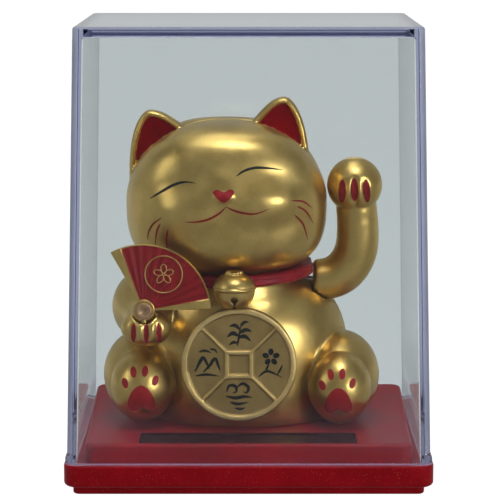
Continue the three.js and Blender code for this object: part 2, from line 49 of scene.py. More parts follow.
MM = 0.001
NODES = frame["nodes"]

# ---- Sizes, in millimetres, in the frame's axes ----
RIM = {"half_x": 41.0, "half_y": 33.0, "corner": 3.6, "bottom": 1.9, "top": 6.8}
PLINTH = {"front": 36.4, "back": 37.6, "half_y": 29.8, "top": 11.2, "wall": 1.6}
COVER = {
    "half_x": 40.2,
    "half_y": 32.2,
    "bottom": 6.95,
    "top": 103.1,
    "taper": 2.3,
    "wall": 2.0,
    "roof": 2.2,
    "corner": 1.6,
    "lip": 0.4,
}
SOLAR = {"x": -0.15, "y": -23.4, "half_x": 24.25, "half_y": 5.3, "sunk": 1.3}
PARTING_Y = 2.0
PIVOT = np.array([0.0, 2.0, 42.7])
ARM_LEAN = math.radians(7)
SHOULDER_X = 15.0
WALL = 1.8

HEAD = {
    "at": (-5.1, 0, 62.0),
    "size": (23.1, 20.0, 16.8),
    "crown": 18.2,
    "above": 1.95,
    "below": 3.1,
    "brow": 2.2,
    "square": 0.28,
}
BODY = {"at": (-2, 4, 24.2), "size": (25.2, 19.0, 22.0), "above": 2.5, "below": 3.0}
UPPER_ARM = {"at": (-24.2, -1.5, 37.2), "size": (7.4, 9.6, 8.2), "above": 2.0, "below": 2.0}
THIGHS = [(-24.6, -3.0, 21.4), (21.2, -3.0, 21.2)]
THIGH_SIZE = (9.1, 11.5, 10.3)
FEET = [(-24.3, -12.0, 20.6), (20.8, -12.0, 20.1)]
FOOT_SIZE = (7.2, 7.2, 8.2)
FAN_PAW = {"at": (-23.0, -18.4, 35.3), "size": (5.7, 4.4, 4.2)}
COIN = {"x": -2.2, "z": 26.7, "radius": 13.0, "back": -16.4, "thick": 2.3}
BELL = {"at": (-3.2, -17.6, 44.2), "radius": 4.7, "crown": 3.5, "bowl": 5.4, "back": -15.0}
FAN = {"x": -23.4, "y": -20.6, "z": 39.7, "radius": 14.9, "from": 1, "to": 119}
COLLAR = {
    "at": (-3.3, 0.9, 45.5),
    "half_x": 18.6,
    "half_y": 15.4,
    "half_z": 1.3,
    "pitch": 0.05,
    "roll": -0.03,
}
IN_FRONT = -30  # a level in Y before the whole cat, where paint starts on its way back to a surface


# ---- Distance fields: points (n, 3) in millimetres in, distances out, negative inside ----
def rounded(p, form, shrink=0.0):
    """A ball squared off by its exponents: fuller than an ellipsoid where they pass 2."""
    size = np.array(form["size"]) - shrink
    q = (p - np.array(form["at"])) / size
    upper = q[:, 2] > 0
    height = np.where(upper, form.get("crown", form["size"][2]) - shrink, size[2])
    q[:, 2] *= size[2] / height
    power = np.where(upper, form["above"], form["below"])
    flat = np.maximum(np.hypot(q[:, 0], q[:, 1]), 1e-6)
    if "brow" in form:
        forward = (q[:, 1] / flat) ** 2
        power = power + np.where(upper, form["brow"], 0.0) * forward
        flat = flat / (1 + form["square"] * (q[:, 0] * q[:, 1] / flat**2) ** 2)
    tall = np.maximum(np.abs(q[:, 2]), 1e-6)
    total = np.maximum((flat**power + tall**power) ** (1 / power), 0.05)
    slope_flat = (flat / total) ** (power - 1) * np.hypot(q[:, 0] / size[0], q[:, 1] / size[1]) / flat
    slope_tall = (tall / total) ** (power - 1) / height
    return (total - 1) / np.maximum(np.hypot(slope_flat, slope_tall), 1e-4)


def ellipsoid(p, at, size):
    return rounded(p, {"at": at, "size": size, "above": 2.0, "below": 2.0})


def capsule(p, a, b, radius_a, radius_b=None):
    a = np.array(a, float)
    along = np.array(b, float) - a
    t = np.clip((p - a) @ along / (along @ along), 0, 1)
    radius = radius_a + ((radius_a if radius_b is None else radius_b) - radius_a) * t
    return np.linalg.norm(p - a - t[:, None] * along, axis=1) - radius


def blend(a, b, width):
    near = np.maximum(width - np.abs(a - b), 0) / width
    return np.minimum(a, b) - near * near * width / 4


def carve(a, cut, width):
    return -blend(-a, cut, width)


def box_field(p, low, high, radius=0.0):
    low, high = np.array(low, float), np.array(high, float)
    q = np.abs(p - (low + high) / 2) - (high - low) / 2 + radius
    outside = np.linalg.norm(np.maximum(q, 0), axis=1)
    return outside + np.minimum(q.max(axis=1), 0) - radius


def disc_y(p, at, radius, low, high, edge=0.0):
    """A round plate or rod along Y between low and high."""
    around = np.hypot(p[:, 0] - at[0], p[:, 2] - at[1]) - radius + edge
    along = np.maximum(low - p[:, 1], p[:, 1] - high) + edge
    both = np.hypot(np.maximum(around, 0), np.maximum(along, 0))
    return both + np.minimum(np.maximum(around, along), 0) - edge


def only_near(p, at, reach, make, far=8.0):
    """Works a field out only near a place, which keeps small features cheap."""
    value = np.full(len(p), far)
    near = np.all(np.abs(p - np.array(at)) < np.array(reach), axis=1)
    if near.any():
        value[near] = make(p[near])
    return value


def polygon_field(x, z, outline):
    """Distance to a closed outline in the XZ plane, negative inside."""
    a, b = outline, np.roll(outline, -1, axis=0)
    px, pz = x[:, None] - a[None, :, 0], z[:, None] - a[None, :, 1]
    ex, ez = (b - a)[:, 0][None], (b - a)[:, 1][None]
    t = np.clip((px * ex + pz * ez) / (ex * ex + ez * ez), 0, 1)
    distance = np.sqrt(((px - t * ex) ** 2 + (pz - t * ez) ** 2).min(axis=1))
    crosses = (a[None, :, 1] > z[:, None]) != (b[None, :, 1] > z[:, None])
    slope = np.where(np.abs(ez) < 1e-9, 1e-9, ez)
    left = x[:, None] < a[None, :, 0] + ex * pz / slope
    inside = (crosses & left).sum(axis=1) % 2 == 1
    return np.where(inside, -distance, distance)


def bezier(a, b, c, d, count):
    t = np.linspace(0, 1, count, endpoint=False)[:, None]
    a, b, c, d = (np.array(v, float) for v in (a, b, c, d))
    return (1 - t) ** 3 * a + 3 * (1 - t) ** 2 * t * b + 3 * (1 - t) * t**2 * c + t**3 * d


def smooth_line(points, count, closed=False):
    """Catmull-Rom through a few points."""
    pts = np.array(points, float)
    if closed:
        pts = np.vstack([pts[-1:], pts, pts[:2]])
    else:
        pts = np.vstack([2 * pts[0] - pts[1], pts, 2 * pts[-1] - pts[-2]])
    spans = len(pts) - 3
    where = np.linspace(0, spans, count, endpoint=not closed)
    i = np.minimum(where.astype(int), spans - 1)
    t = (where - i)[:, None]
    a, b, c, d = pts[i], pts[i + 1], pts[i + 2], pts[i + 3]
    square, cube = 2 * a - 5 * b + 4 * c - d, 3 * b - a - 3 * c + d
    return 0.5 * (2 * b + (c - a) * t + square * t**2 + cube * t**3)


# ---- The cat's forms ----
EAR_ROOT = 8
EAR_FRONT = -3.0
EAR_BACK = 1.8
EAR_RIM = 1.25
EAR_EDGE = 1.3


def ear_outline(outer_foot, tip, inner_foot, lean):
    """An ear from the front: two curves to its tip, with roots that go on into the head."""
    first = bezier(
        outer_foot,
        (outer_foot[0] - 0.3 * lean, (outer_foot[1] + tip[1]) / 2 + 2),
        (tip[0] - 2.6 * lean, tip[1]),
        tip,
        12,
    )
    middle = ((tip[0] + inner_foot[0]) / 2 + 0.6 * lean, (tip[1] + inner_foot[1]) / 2 + 1.2)
    second = bezier(tip, (tip[0] + 3.0 * lean, tip[1]), middle, inner_foot, 12)
    inner_root = (inner_foot[0] + 2 * lean, inner_foot[1] - EAR_ROOT)
    outer_root = (outer_foot[0] + 3 * lean, outer_foot[1] - EAR_ROOT)
    return np.vstack([first, second, np.array([inner_foot, inner_root, outer_root])])


EARS = [
    {"outline": ear_outline((-27.4, 67), (-22.6, 82.5), (-12.0, 76.2), 1), "at": (-20, 0, 75)},
    {"outline": ear_outline((13.9, 68), (8.2, 85.5), (-1.4, 77.2), -1), "at": (6, 0, 77)},
]


def ear_field(p, ear):
    flat = polygon_field(p[:, 0], p[:, 2], ear["outline"])
    thick = np.abs(p[:, 1] - (EAR_FRONT + EAR_BACK) / 2) - (EAR_BACK - EAR_FRONT) / 2
    both = np.hypot(np.maximum(flat + EAR_EDGE, 0), np.maximum(thick + EAR_EDGE, 0))
    solid = both + np.minimum(np.maximum(flat, thick) + EAR_EDGE, 0) - EAR_EDGE
    dish = np.maximum(flat + EAR_RIM, p[:, 1] - (EAR_FRONT + 1.5 - 0.25 * (flat + EAR_RIM).clip(-4, 0)))
    return carve(solid, dish, 0.7)


def face_field(p):
    head = rounded(p, HEAD)
    head = blend(head, ellipsoid(p, (-11.4, -15.3, 61.8), (8.4, 5.6, 4.8)), 3.5)
    head = blend(head, ellipsoid(p, (1.4, -15.6, 63.6), (8.8, 5.7, 5.0)), 3.2)
    head = blend(head, ellipsoid(p, (-5.4, -16.7, 66.2), (5.0, 4.3, 4.3)), 3.4)
    bump_at, bump_size = (-5.4, -20.4, 65.2), (2.8, 1.9, 1.7)
    nose = only_near(p, (-5.5, -21, 65.4), (5, 5, 5), lambda q: ellipsoid(q, bump_at, bump_size))
    return blend(head, nose, 0.4)


FAN_FINGERS = [(-25.7, -21.6), (-22.8, -22.0), (-20.0, -21.6)]


def fan_paw_field(p):
    paw = ellipsoid(p, FAN_PAW["at"], FAN_PAW["size"])
    for x, y in FAN_FINGERS:
        groove = capsule(p, (x, y - 1.1, 37.4), (x, y - 0.7, 32.6), 0.9, 0.7)
        paw = carve(paw, groove, 0.7)
    return paw


def shoulder_pocket(p):
    around = np.hypot(p[:, 1] - PIVOT[1], p[:, 2] - PIVOT[2]) - 5.1
    return np.maximum(around, SHOULDER_X - 0.4 - p[:, 0])


def collar_level(q):
    """Height over the collar's middle plane, which is slightly tipped."""
    return q[:, 2] - COLLAR["pitch"] * q[:, 1] + COLLAR["roll"] * q[:, 0]


def collar_ring(p, grow):
    """The band round the neck, an oval ring: distances past its outside, inside and edges."""
    q = p - np.array(COLLAR["at"])
    z = collar_level(q)
    half_x, half_y = COLLAR["half_x"], COLLAR["half_y"]
    radius = np.hypot(q[:, 0] / half_x, q[:, 1] / half_y)
    outer = (radius - 1) * 0.5 * (half_x + half_y) - grow
    inner = 4.0 + outer
    return outer, -(inner + 2 * grow), np.abs(z) - COLLAR["half_z"] - grow


def neck_groove(p):
    return np.maximum.reduce(collar_ring(p, 0.25))


def cat_outside(p):
    head = face_field(p)
    for ear in EARS:
        make = lambda q, ear=ear: ear_field(q, ear)
        head = blend(head, only_near(p, ear["at"], (13, 8, 14), make), 0.4)
    body = rounded(p, BODY)
    body = blend(body, rounded(p, UPPER_ARM), 3.5)
    forearm = capsule(p, (-24, -4, 36.8), (-23, -16.5, 35.6), 6.0, 4.1)
    body = blend(body, forearm, 2.5)
    for thigh in THIGHS:
        body = blend(body, ellipsoid(p, thigh, THIGH_SIZE), 0.8)
    for foot in FEET:
        body = blend(body, ellipsoid(p, foot, FOOT_SIZE), 0.15)
    paw = only_near(p, FAN_PAW["at"], (11, 10, 10), fan_paw_field)
    body = blend(body, paw, 0.5)
    neck = capsule(p, (-3.6, 2, 40), (-4.4, 1.5, 52), 15, 13)
    return blend(blend(body, neck, 2.0), head, 0.8)


def cat_inside(p):
    parts = [rounded(p, form, WALL) for form in (HEAD, BODY, UPPER_ARM)]
    parts += [ellipsoid(p, thigh, np.array(THIGH_SIZE) - WALL) for thigh in THIGHS]
    parts.append(capsule(p, (-3.6, 2, 42), (-4.4, 1.5, 50), 10.0, 9.0))
    return np.minimum.reduce(parts)


FRAME_SCREWS = (-5.4, 1.4)
CAT_SCREWS = ((-17, 15), (13, 15))


def cat_shell(p):
    shell = carve(cat_outside(p), cat_inside(p), 0.3)
    for x in FRAME_SCREWS:
        post = disc_y(p, (x, 39.2), 2.0, 10.3, 17.4)
        shell = np.minimum(shell, np.maximum(post, -disc_y(p, (x, 39.2), 0.9, 8, 15.2)))
    for x, y in CAT_SCREWS:
        around = np.hypot(p[:, 0] - x, p[:, 1] - y)
        shell = np.minimum(shell, np.maximum(around - 2.7, p[:, 2] - 24))
        shell = np.maximum(shell, -np.maximum(around - 1.3, p[:, 2] - 19))
    shell = carve(shell, shoulder_pocket(p), 0.6)
    shell = carve(shell, neck_groove(p), 0.4)
    axle_room = np.hypot(p[:, 1] - PIVOT[1], p[:, 2] - PIVOT[2]) - 1.25
    shell = np.maximum(shell, -np.maximum(axle_room, 2 - p[:, 0]))
    shell = np.maximum(shell, -disc_y(p, (COIN["x"], COIN["z"]), 2.3, -20, -10))
    shell = np.maximum(shell, -disc_y(p, (BELL["at"][0], 42.2), 1.4, -20, -6))
    fan_room = disc_y(p, (FAN["x"], FAN["z"]), 2.9, -30, FAN["y"] + 0.75)
    shell = carve(shell, fan_room, 0.4)
    stub_room = np.hypot(p[:, 0] - FAN["x"], p[:, 1] - FAN["y"]) - 1.2
    shell = np.maximum(shell, -np.maximum(stub_room, np.abs(p[:, 2] - 40) - 6))
    return np.maximum(shell, PLINTH["top"] + 0.1 - p[:, 2])


def front_shell(p):
    return carve(cat_shell(p), PARTING_Y - 0.07 - p[:, 1], 0.35)


def rear_shell(p):
    return carve(cat_shell(p), p[:, 1] - PARTING_Y - 0.07, 0.35)


# ---- The beckoning arm, upright about the pivot, then leaned forward ----
ARM_PATH = smooth_line(
    [(SHOULDER_X, 0, 0), (19, 0, 0.2), (22.4, 0, 2.2), (24.8, 0, 6.4), (25.3, 0, 12), (24.7, 0, 19.5)],
    15,
)
ARM_PAW = {"at": (24.4, 0, 22.7), "size": (6.35, 6.2, 6.4)}
ARM_SLITS = [(21.4, 21.9), (24.1, 22.3), (26.8, 22.0)]
ARM_SLIT_MIDDLE = 24.2


def leaned(p):
    q = p - PIVOT
    c, s = math.cos(ARM_LEAN), math.sin(ARM_LEAN)
    return np.column_stack([q[:, 0], c * q[:, 1] + s * q[:, 2], -s * q[:, 1] + c * q[:, 2]])


def arm_form(q, shrink):
    limb = None
    for i in range(len(ARM_PATH) - 1):
        t = i / (len(ARM_PATH) - 1)
        radius = 4.45 + 0.35 * math.sin(math.pi * t) - shrink
        piece = capsule(q, ARM_PATH[i], ARM_PATH[i + 1], radius)
        limb = piece if limb is None else blend(limb, piece, 0.6)
    limb = carve(limb, q[:, 0] - SHOULDER_X - shrink, 1.2)
    paw = ellipsoid(q, ARM_PAW["at"], np.array(ARM_PAW["size"]) - shrink)
    if shrink == 0:
        for x, z in ARM_SLITS:
            bend = 0.18 * (x - ARM_SLIT_MIDDLE)
            slit = capsule(q, (x - 0.5 * bend, -6.3, z + 3.2), (x + bend, -5.6, z - 3.3), 0.95, 0.7)
            paw = carve(paw, slit, 0.8)
    return blend(limb, paw, 0.25)


def arm_shell(p):
    q = leaned(p)
    inside = np.maximum(arm_form(q, 1.3), 19.6 - q[:, 0])
    bore = np.maximum(np.hypot(q[:, 1], q[:, 2]) - 0.9, q[:, 0] - 18.9)
    return np.maximum(np.maximum(arm_form(q, 0), -inside), -bore)


def arm_front(p):
    return carve(arm_shell(p), -0.05 - leaned(p)[:, 1], 0.25)


def arm_rear(p):
    return carve(arm_shell(p), leaned(p)[:, 1] - 0.05, 0.25)


# ---- Coin, bell and collar ----
COIN_FRONT = COIN["back"] - COIN["thick"]
COIN_FACE = COIN_FRONT + 0.65


def coin_field(p):
    at = (COIN["x"], COIN["z"])
    disc = disc_y(p, at, COIN["radius"], COIN_FRONT, COIN["back"], 0.55)
    dish = disc_y(p, at, COIN["radius"] - 1.35, COIN_FRONT - 3, COIN_FACE)
    face = carve(disc, dish, 0.35)
    q = p - np.array([at[0], 0, at[1]])
    square = np.maximum(np.abs(q[:, 0]), np.abs(q[:, 2]))
    frame_bar = np.maximum(np.abs(square - 2.75) - 0.42, np.abs(p[:, 1] - COIN_FACE) - 0.5)
    face = blend(face, frame_bar, 0.3)
    radius = np.hypot(q[:, 0], q[:, 2])
    for sign in (1, -1):
        across = np.abs(q[:, 0] - sign * q[:, 2]) / math.sqrt(2)
        rib = np.maximum(across - 0.28, np.abs(p[:, 1] - COIN_FACE) - 0.42)
        rib = np.maximum(rib, np.maximum(4.2 - radius, radius - COIN["radius"] + 1.2))
        face = blend(face, rib, 0.3)
    face = np.maximum(face, -np.maximum(square - 2.15, np.abs(p[:, 1] - COIN_FACE + 2) - 2.15))
    return np.minimum(face, disc_y(p, at, 2.0, COIN["back"] - 0.5, -13.4))


def bell_globe(p, shrink):
    """A ball whose crown is flatter than its bowl, joined at the flange."""
    x, y, z = BELL["at"]
    radius = BELL["radius"] - shrink
    crown = ellipsoid(p, (x, y, z), (radius, radius, BELL["crown"] - shrink))
    bowl = ellipsoid(p, (x, y, z), (radius, radius, BELL["bowl"] - shrink))
    return np.where(p[:, 2] > z, crown, bowl)


def bell_field(p):
    x, y, z = BELL["at"]
    globe = bell_globe(p, 0)
    around = np.hypot(p[:, 0] - x, p[:, 1] - y)
    flange = np.hypot(around - BELL["radius"] + 0.1, p[:, 2] - z) - 0.36
    globe = blend(globe, flange, 0.2)
    turn = np.arctan2(p[:, 1] - y, p[:, 0] - x)
    knurl = np.hypot(around - 1.6, p[:, 2] - z - BELL["crown"] + 0.2) - 0.42 - 0.1 * np.cos(18 * turn)
    globe = blend(globe, knurl, 0.2)
    globe = np.maximum(globe, -bell_globe(p, 0.8))
    hole = disc_y(p, (x, z - 2.2), 0.75, y - 8, y)
    slit = box_field(p, (x - 0.28, y - 8, z - 8), (x + 0.28, y, z - 2.2))
    globe = carve(globe, np.minimum(hole, slit), 0.25)
    globe = np.maximum(globe, p[:, 1] - BELL["back"])
    coin_room = disc_y(p, (COIN["x"], COIN["z"]), COIN["radius"] + 0.3, -30, -10)
    globe = np.maximum(globe, -coin_room)
    return np.minimum(globe, disc_y(p, (x, 42.2), 1.1, BELL["back"] - 1, -9))


def collar_field(p):
    soft = 0.8
    outer, inner, height = collar_ring(p, -soft)
    level = collar_level(p - np.array(COLLAR["at"]))
    band = np.linalg.norm(np.maximum(np.column_stack([outer, inner, height]), 0), axis=1)
    band = band + np.minimum(np.maximum.reduce([outer, inner, height]), 0) - soft
    groove = np.hypot(outer - soft, level - 0.15) - 0.22
    band = carve(band, groove, 0.12)
    return np.maximum(band, -shoulder_pocket(p))


# ---- Mesh making ----
def volume(points, faces):
    total = 0.0
    for face in faces:
        for k in range(1, face.shape[1] - 1):
            a, b, c = points[face[:, 0]], points[face[:, k]], points[face[:, k + 1]]
            total += np.einsum("ij,ij->i", a, np.cross(b, c)).sum() / 6
    return total


def link_new(name, data):
    made = bpy.data.objects.new(name, data)
    bpy.context.collection.objects.link(made)
    return made


def make_object(name, points, faces, material, smooth_angle=None):
    """points in millimetres; faces is a list of index lists or arrays."""
    mesh = bpy.data.meshes.new(name)
    rows = [row for group in faces for row in np.asarray(group).tolist()]
    mesh.from_pydata((np.asarray(points) * MM).tolist(), [], rows)
    mesh.validate()
    mesh.shade_smooth()
    if smooth_angle is not None:
        mesh.set_sharp_from_angle(angle=math.radians(smooth_angle))
    made = link_new(name, mesh)
    mesh.materials.append(material)
    return made


def slope(p, field, step=0.02):
    result = np.empty_like(p)
    for axis in range(3):
        shift = np.zeros(3)
        shift[axis] = step
        result[:, axis] = (field(p + shift) - field(p - shift)) / (2 * step)
    return result


def skin(name, field, low, high, cell, material):
    """The zero surface of a field as a fine closed mesh."""
    low = np.array(low, float)
    counts = np.ceil((np.array(high) - low) / cell).astype(int) + 1
    values = np.empty(counts, np.float32)
    y, z = (low[i] + cell * np.arange(counts[i]) for i in (1, 2))
    plane = np.stack(np.meshgrid(y, z, indexing="ij"), axis=-1).reshape(-1, 2)
    batch = max(1, 400000 // len(plane))
    for start in range(0, counts[0], batch):
        xs = low[0] + cell * np.arange(start, min(start + batch, counts[0]))
        points = np.column_stack([np.repeat(xs, len(plane)), np.tile(plane, (len(xs), 1))])
        values[start : start + len(xs)] = field(points).reshape(len(xs), counts[1], counts[2])
    grid = openvdb.FloatGrid(5.0)
    grid.copyFromArray(np.clip(values / cell, -4.9, 4.9))
    points, triangles, quads = grid.convertToPolygons(isovalue=0.0, adaptivity=0.0)
    points = low + np.asarray(points, float) * cell
    for _ in range(3):
        direction = slope(points, field)
        steep = np.maximum((direction**2).sum(axis=1), 0.3)
        move = -(field(points) / steep)[:, None] * direction
        length = np.linalg.norm(move, axis=1)[:, None]
        points = points + move * np.minimum(1, 0.3 * cell / np.maximum(length, 1e-9))
    faces = [np.asarray(quads, int), np.asarray(triangles, int).reshape(-1, 3)]
    if volume(points, faces) < 0:
        faces = [face[:, ::-1] for face in faces]
    return make_object(name, points, faces, material)


EDGE_LOOP = 0.25


def outline_rect(front, back, half_y, corner, per_corner=10):
    """A trapezium with round corners seen from above, as points going round it."""
    corners = [(-front, -half_y, 180), (front, -half_y, 270), (back, half_y, 0), (-back, half_y, 90)]
    points = []
    for x, y, start in corners:
        centre_x = x - math.copysign(corner, x)
        centre_y = y - math.copysign(corner, y)
        for k in range(per_corner + 3):
            turn = min(max(k - 1, 0), per_corner)
            angle = math.radians(start + 90 * turn / per_corner)
            lead = EDGE_LOOP * (k - 1 - turn)
            points.append(
                (
                    centre_x + corner * math.cos(angle) - lead * math.sin(angle),
                    centre_y + corner * math.sin(angle) + lead * math.cos(angle),
                )
            )
    return np.array(points)


def loft(name, rings, material, smooth_angle=32):
    """rings: closed outlines (n, 3) with equal counts; both ends are capped."""
    count = len(rings[0])
    points = np.vstack(rings)
    quads = []
    for level in range(len(rings) - 1):
        base = level * count
        for i in range(count):
            j = (i + 1) % count
            quads.append([base + i, base + j, base + count + j, base + count + i])
    top = (len(rings) - 1) * count
    caps = [list(range(count))[::-1], [top + i for i in range(count)]]
    return make_object(name, points, [quads, [caps[0]], [caps[1]]], material, smooth_angle)


def ring_at(outline, z):
    return np.column_stack([outline, np.full(len(outline), z)])


def fillet(outer_z, inset, radius, up, steps=5):
    """(inset, z) pairs round an edge from a wall to a level face, with a close loop on each flat."""
    pairs = [(inset, outer_z - radius - EDGE_LOOP)]
    for k in range(steps + 1):
        angle = math.pi / 2 * k / steps
        pairs.append((inset + radius * (1 - math.cos(angle)), outer_z - radius * (1 - math.sin(angle))))
    pairs.append((inset + radius + EDGE_LOOP, outer_z))
    if not up:
        pairs = [(x, 2 * outer_z - z) for x, z in reversed(pairs)]
    return pairs


def sheet_to_solid(top, faces, normals, depth):
    """Turns an open sheet of quads or triangles into a closed thin solid by sinking a copy of it."""
    count = len(top)
    points = np.vstack([top, top - normals * depth])
    rows = [list(face) for face in faces]
    back = [[count + i for i in reversed(face)] for face in rows]
    edges = {}
    for face in rows:
        for i, a in enumerate(face):
            b = face[(i + 1) % len(face)]
            edges[(a, b)] = edges.get((a, b), 0) + 1
    sides = [[b, a, count + a, count + b] for (a, b) in edges if (b, a) not in edges]
    return points, rows + back + sides


def drop_on(field, xz, start_y, normal_step=0.05):
    """Where lines along +Y from start_y first meet a field, with the outward normals there."""
    points = np.column_stack([xz[:, 0], np.full(len(xz), float(start_y)), xz[:, 1]])
    for _ in range(60):
        points[:, 1] += np.clip(field(points) * 0.8, -0.5, 2.0)
    normals = slope(points, field, normal_step)
    normals /= np.maximum(np.linalg.norm(normals, axis=1), 1e-9)[:, None]
    return points, normals


PAINT_PROUD = 0.035
PAINT_DEPTH = 0.16


def paint_sheet(name, field, xz, faces, start_y, material):
    points, normals = drop_on(field, xz, start_y)
    top = points + normals * PAINT_PROUD
    all_points, all_faces = sheet_to_solid(top, faces, normals, PAINT_DEPTH)
    quads = [face for face in all_faces if len(face) == 4]
    triangles = [face for face in all_faces if len(face) == 3]
    return make_object(name, all_points, [quads, triangles], material, 60)


def ribbon(line, widths, across=4):
    """A brush line in the XZ plane: its points and quads."""
    line = np.asarray(line, float)
    forward = np.gradient(line, axis=0)
    forward /= np.maximum(np.linalg.norm(forward, axis=1), 1e-9)[:, None]
    side = np.column_stack([-forward[:, 1], forward[:, 0]])
    lanes = np.linspace(-0.5, 0.5, across + 1)
    points = np.vstack([line + side * (widths * lane)[:, None] for lane in lanes])
    count = len(line)
    faces = []
    for lane in range(across):
        for i in range(count - 1):
            a = lane * count + i
            faces.append([a, a + 1, a + count + 1, a + count])
    return points, faces


def brush_widths(count, width, start=0.25, end=0.12, swell=0.5):
    t = np.linspace(0, 1, count)
    shape = np.sin(np.pi * t**swell) ** 0.7
    ends = start * (1 - t) ** 6 + end * t**6
    return width * np.maximum(np.maximum(shape, ends), 0.06)


def patch(outline, rings=7, centre=None):
    """A filled outline in the XZ plane as rings round its centre."""
    outline = np.asarray(outline, float)
    middle = outline.mean(axis=0) if centre is None else np.array(centre, float)
    count = len(outline)
    points = [middle[None]]
    for k in range(1, rings + 1):
        points.append(middle + (outline - middle) * k / rings)
    faces = [[0, 1 + (i + 1) % count, 1 + i] for i in range(count)]
    for k in range(rings - 1):
        base = 1 + k * count
        for i in range(count):
            j = (i + 1) % count
            faces.append([base + i, base + j, base + count + j, base + count + i])
    area = np.cross(outline, np.roll(outline, -1, axis=0)).sum()
    if area > 0:
        faces = [face[::-1] if len(face) == 3 else face for face in faces]
    return np.vstack(points), faces


# ---- Materials ----
def new_material(name):
    material = bpy.data.materials.new(name)
    material.use_nodes = True
    tree = material.node_tree
    return material, tree, tree.nodes["Principled BSDF"]


def put(tree, kind, **values):
    node = tree.nodes.new(kind)
    for key, value in values.items():
        if key in node.inputs:
            node.inputs[key].default_value = value
        else:
            setattr(node, key, value)
    return node


def place(tree, scale=(1, 1, 1)):
    coordinates = put(tree, "ShaderNodeTexCoord")
    mapping = put(tree, "ShaderNodeMapping", Scale=scale)
    tree.links.new(coordinates.outputs["Object"], mapping.inputs["Vector"])
    return mapping.outputs["Vector"]


def noise(tree, scale, detail=3.0, roughness=0.5, stretch=(1, 1, 1)):
    node = put(tree, "ShaderNodeTexNoise", Scale=scale, Detail=detail, Roughness=roughness)
    tree.links.new(place(tree, stretch), node.inputs["Vector"])
    return node.outputs["Fac"]


def ramp(tree, factor, stops):
    node = put(tree, "ShaderNodeValToRGB")
    while len(node.color_ramp.elements) < len(stops):
        node.color_ramp.elements.new(0.5)
    for element, (at, colour) in zip(node.color_ramp.elements, stops):
        element.position = at
        element.color = (*colour, 1) if len(colour) == 3 else colour
    tree.links.new(factor, node.inputs["Fac"])
    return node.outputs["Color"]


def span(tree, factor, low, high, from_low=0.0, from_high=1.0):
    node = put(tree, "ShaderNodeMapRange")
    node.inputs["From Min"].default_value = from_low
    node.inputs["From Max"].default_value = from_high
    node.inputs["To Min"].default_value = low
    node.inputs["To Max"].default_value = high
    tree.links.new(factor, node.inputs["Value"])
    return node.outputs["Result"]


def mix(tree, factor, a, b):
    node = put(tree, "ShaderNodeMix", data_type="RGBA")
    tree.links.new(factor, node.inputs["Factor"])
    for value, socket in ((a, node.inputs[6]), (b, node.inputs[7])):
        if isinstance(value, tuple):
            socket.default_value = (*value, 1)
        else:
            tree.links.new(value, socket)
    return node.outputs[2]


def two_tone(tree, cloud, dark, light):
    return ramp(tree, cloud, [(0.3, dark), (0.7, light)])


def uneven_gloss(tree, shader, cloud, low, high):
    tree.links.new(span(tree, cloud, low, high, 0.3, 0.7), shader.inputs["Roughness"])


def split_axes(tree, kind="ShaderNodeTexCoord", output="Object"):
    source = put(tree, kind)
    split = put(tree, "ShaderNodeSeparateXYZ")
    tree.links.new(source.outputs[output], split.inputs["Vector"])
    return split.outputs


def fix(node, values):
    for key, value in values.items():
        node.inputs[key].default_value = value


def bump(tree, shader, height, strength, distance):
    node = put(tree, "ShaderNodeBump", Strength=strength, Distance=distance)
    tree.links.new(height, node.inputs["Height"])
    tree.links.new(node.outputs["Normal"], shader.inputs["Normal"])


def gold_paint(name, light, dark, rough):
    """Sprayed metallic gold: slow clouds of tone under a fine sparkling grain."""
    material, tree, shader = new_material(name)
    cloud = noise(tree, 160, 4, 0.6)
    grain = noise(tree, 4200, 2, 0.6)
    colour = two_tone(tree, cloud, dark, light)
    bright = ramp(tree, grain, [(0.52, (0, 0, 0)), (0.75, (1, 1, 1))])
    dull = ramp(tree, grain, [(0.28, (1, 1, 1)), (0.46, (0, 0, 0))])
    colour = mix(tree, span(tree, bright, 0, 0.22), colour, (0.98, 0.76, 0.36))
    colour = mix(tree, span(tree, dull, 0, 0.16), colour, (0.34, 0.20, 0.05))
    tree.links.new(colour, shader.inputs["Base Color"])
    uneven_gloss(tree, shader, cloud, *rough)
    shader.inputs["Metallic"].default_value = 1.0
    bump(tree, shader, grain, 0.3, 0.00003)
    return material


def coin_gold():
    """Satin gold, dull and brownish on the sunk face and bright on the raised edges."""
    material, tree, shader = new_material("coin_gold")
    depth = span(tree, split_axes(tree)["Y"], 1, 0, (COIN_FRONT + 0.1) * MM, (COIN_FACE - 0.05) * MM)
    cloud = noise(tree, 260, 4, 0.65)
    low = two_tone(tree, cloud, (0.34, 0.225, 0.08), (0.45, 0.305, 0.115))
    high = two_tone(tree, cloud, (0.66, 0.46, 0.18), (0.82, 0.60, 0.26))
    tree.links.new(mix(tree, depth, low, high), shader.inputs["Base Color"])
    shader.inputs["Metallic"].default_value = 1.0
    uneven_gloss(tree, shader, cloud, 0.34, 0.5)
    bump(tree, shader, noise(tree, 5200, 3, 0.6), 0.5, 0.00004)
    return material


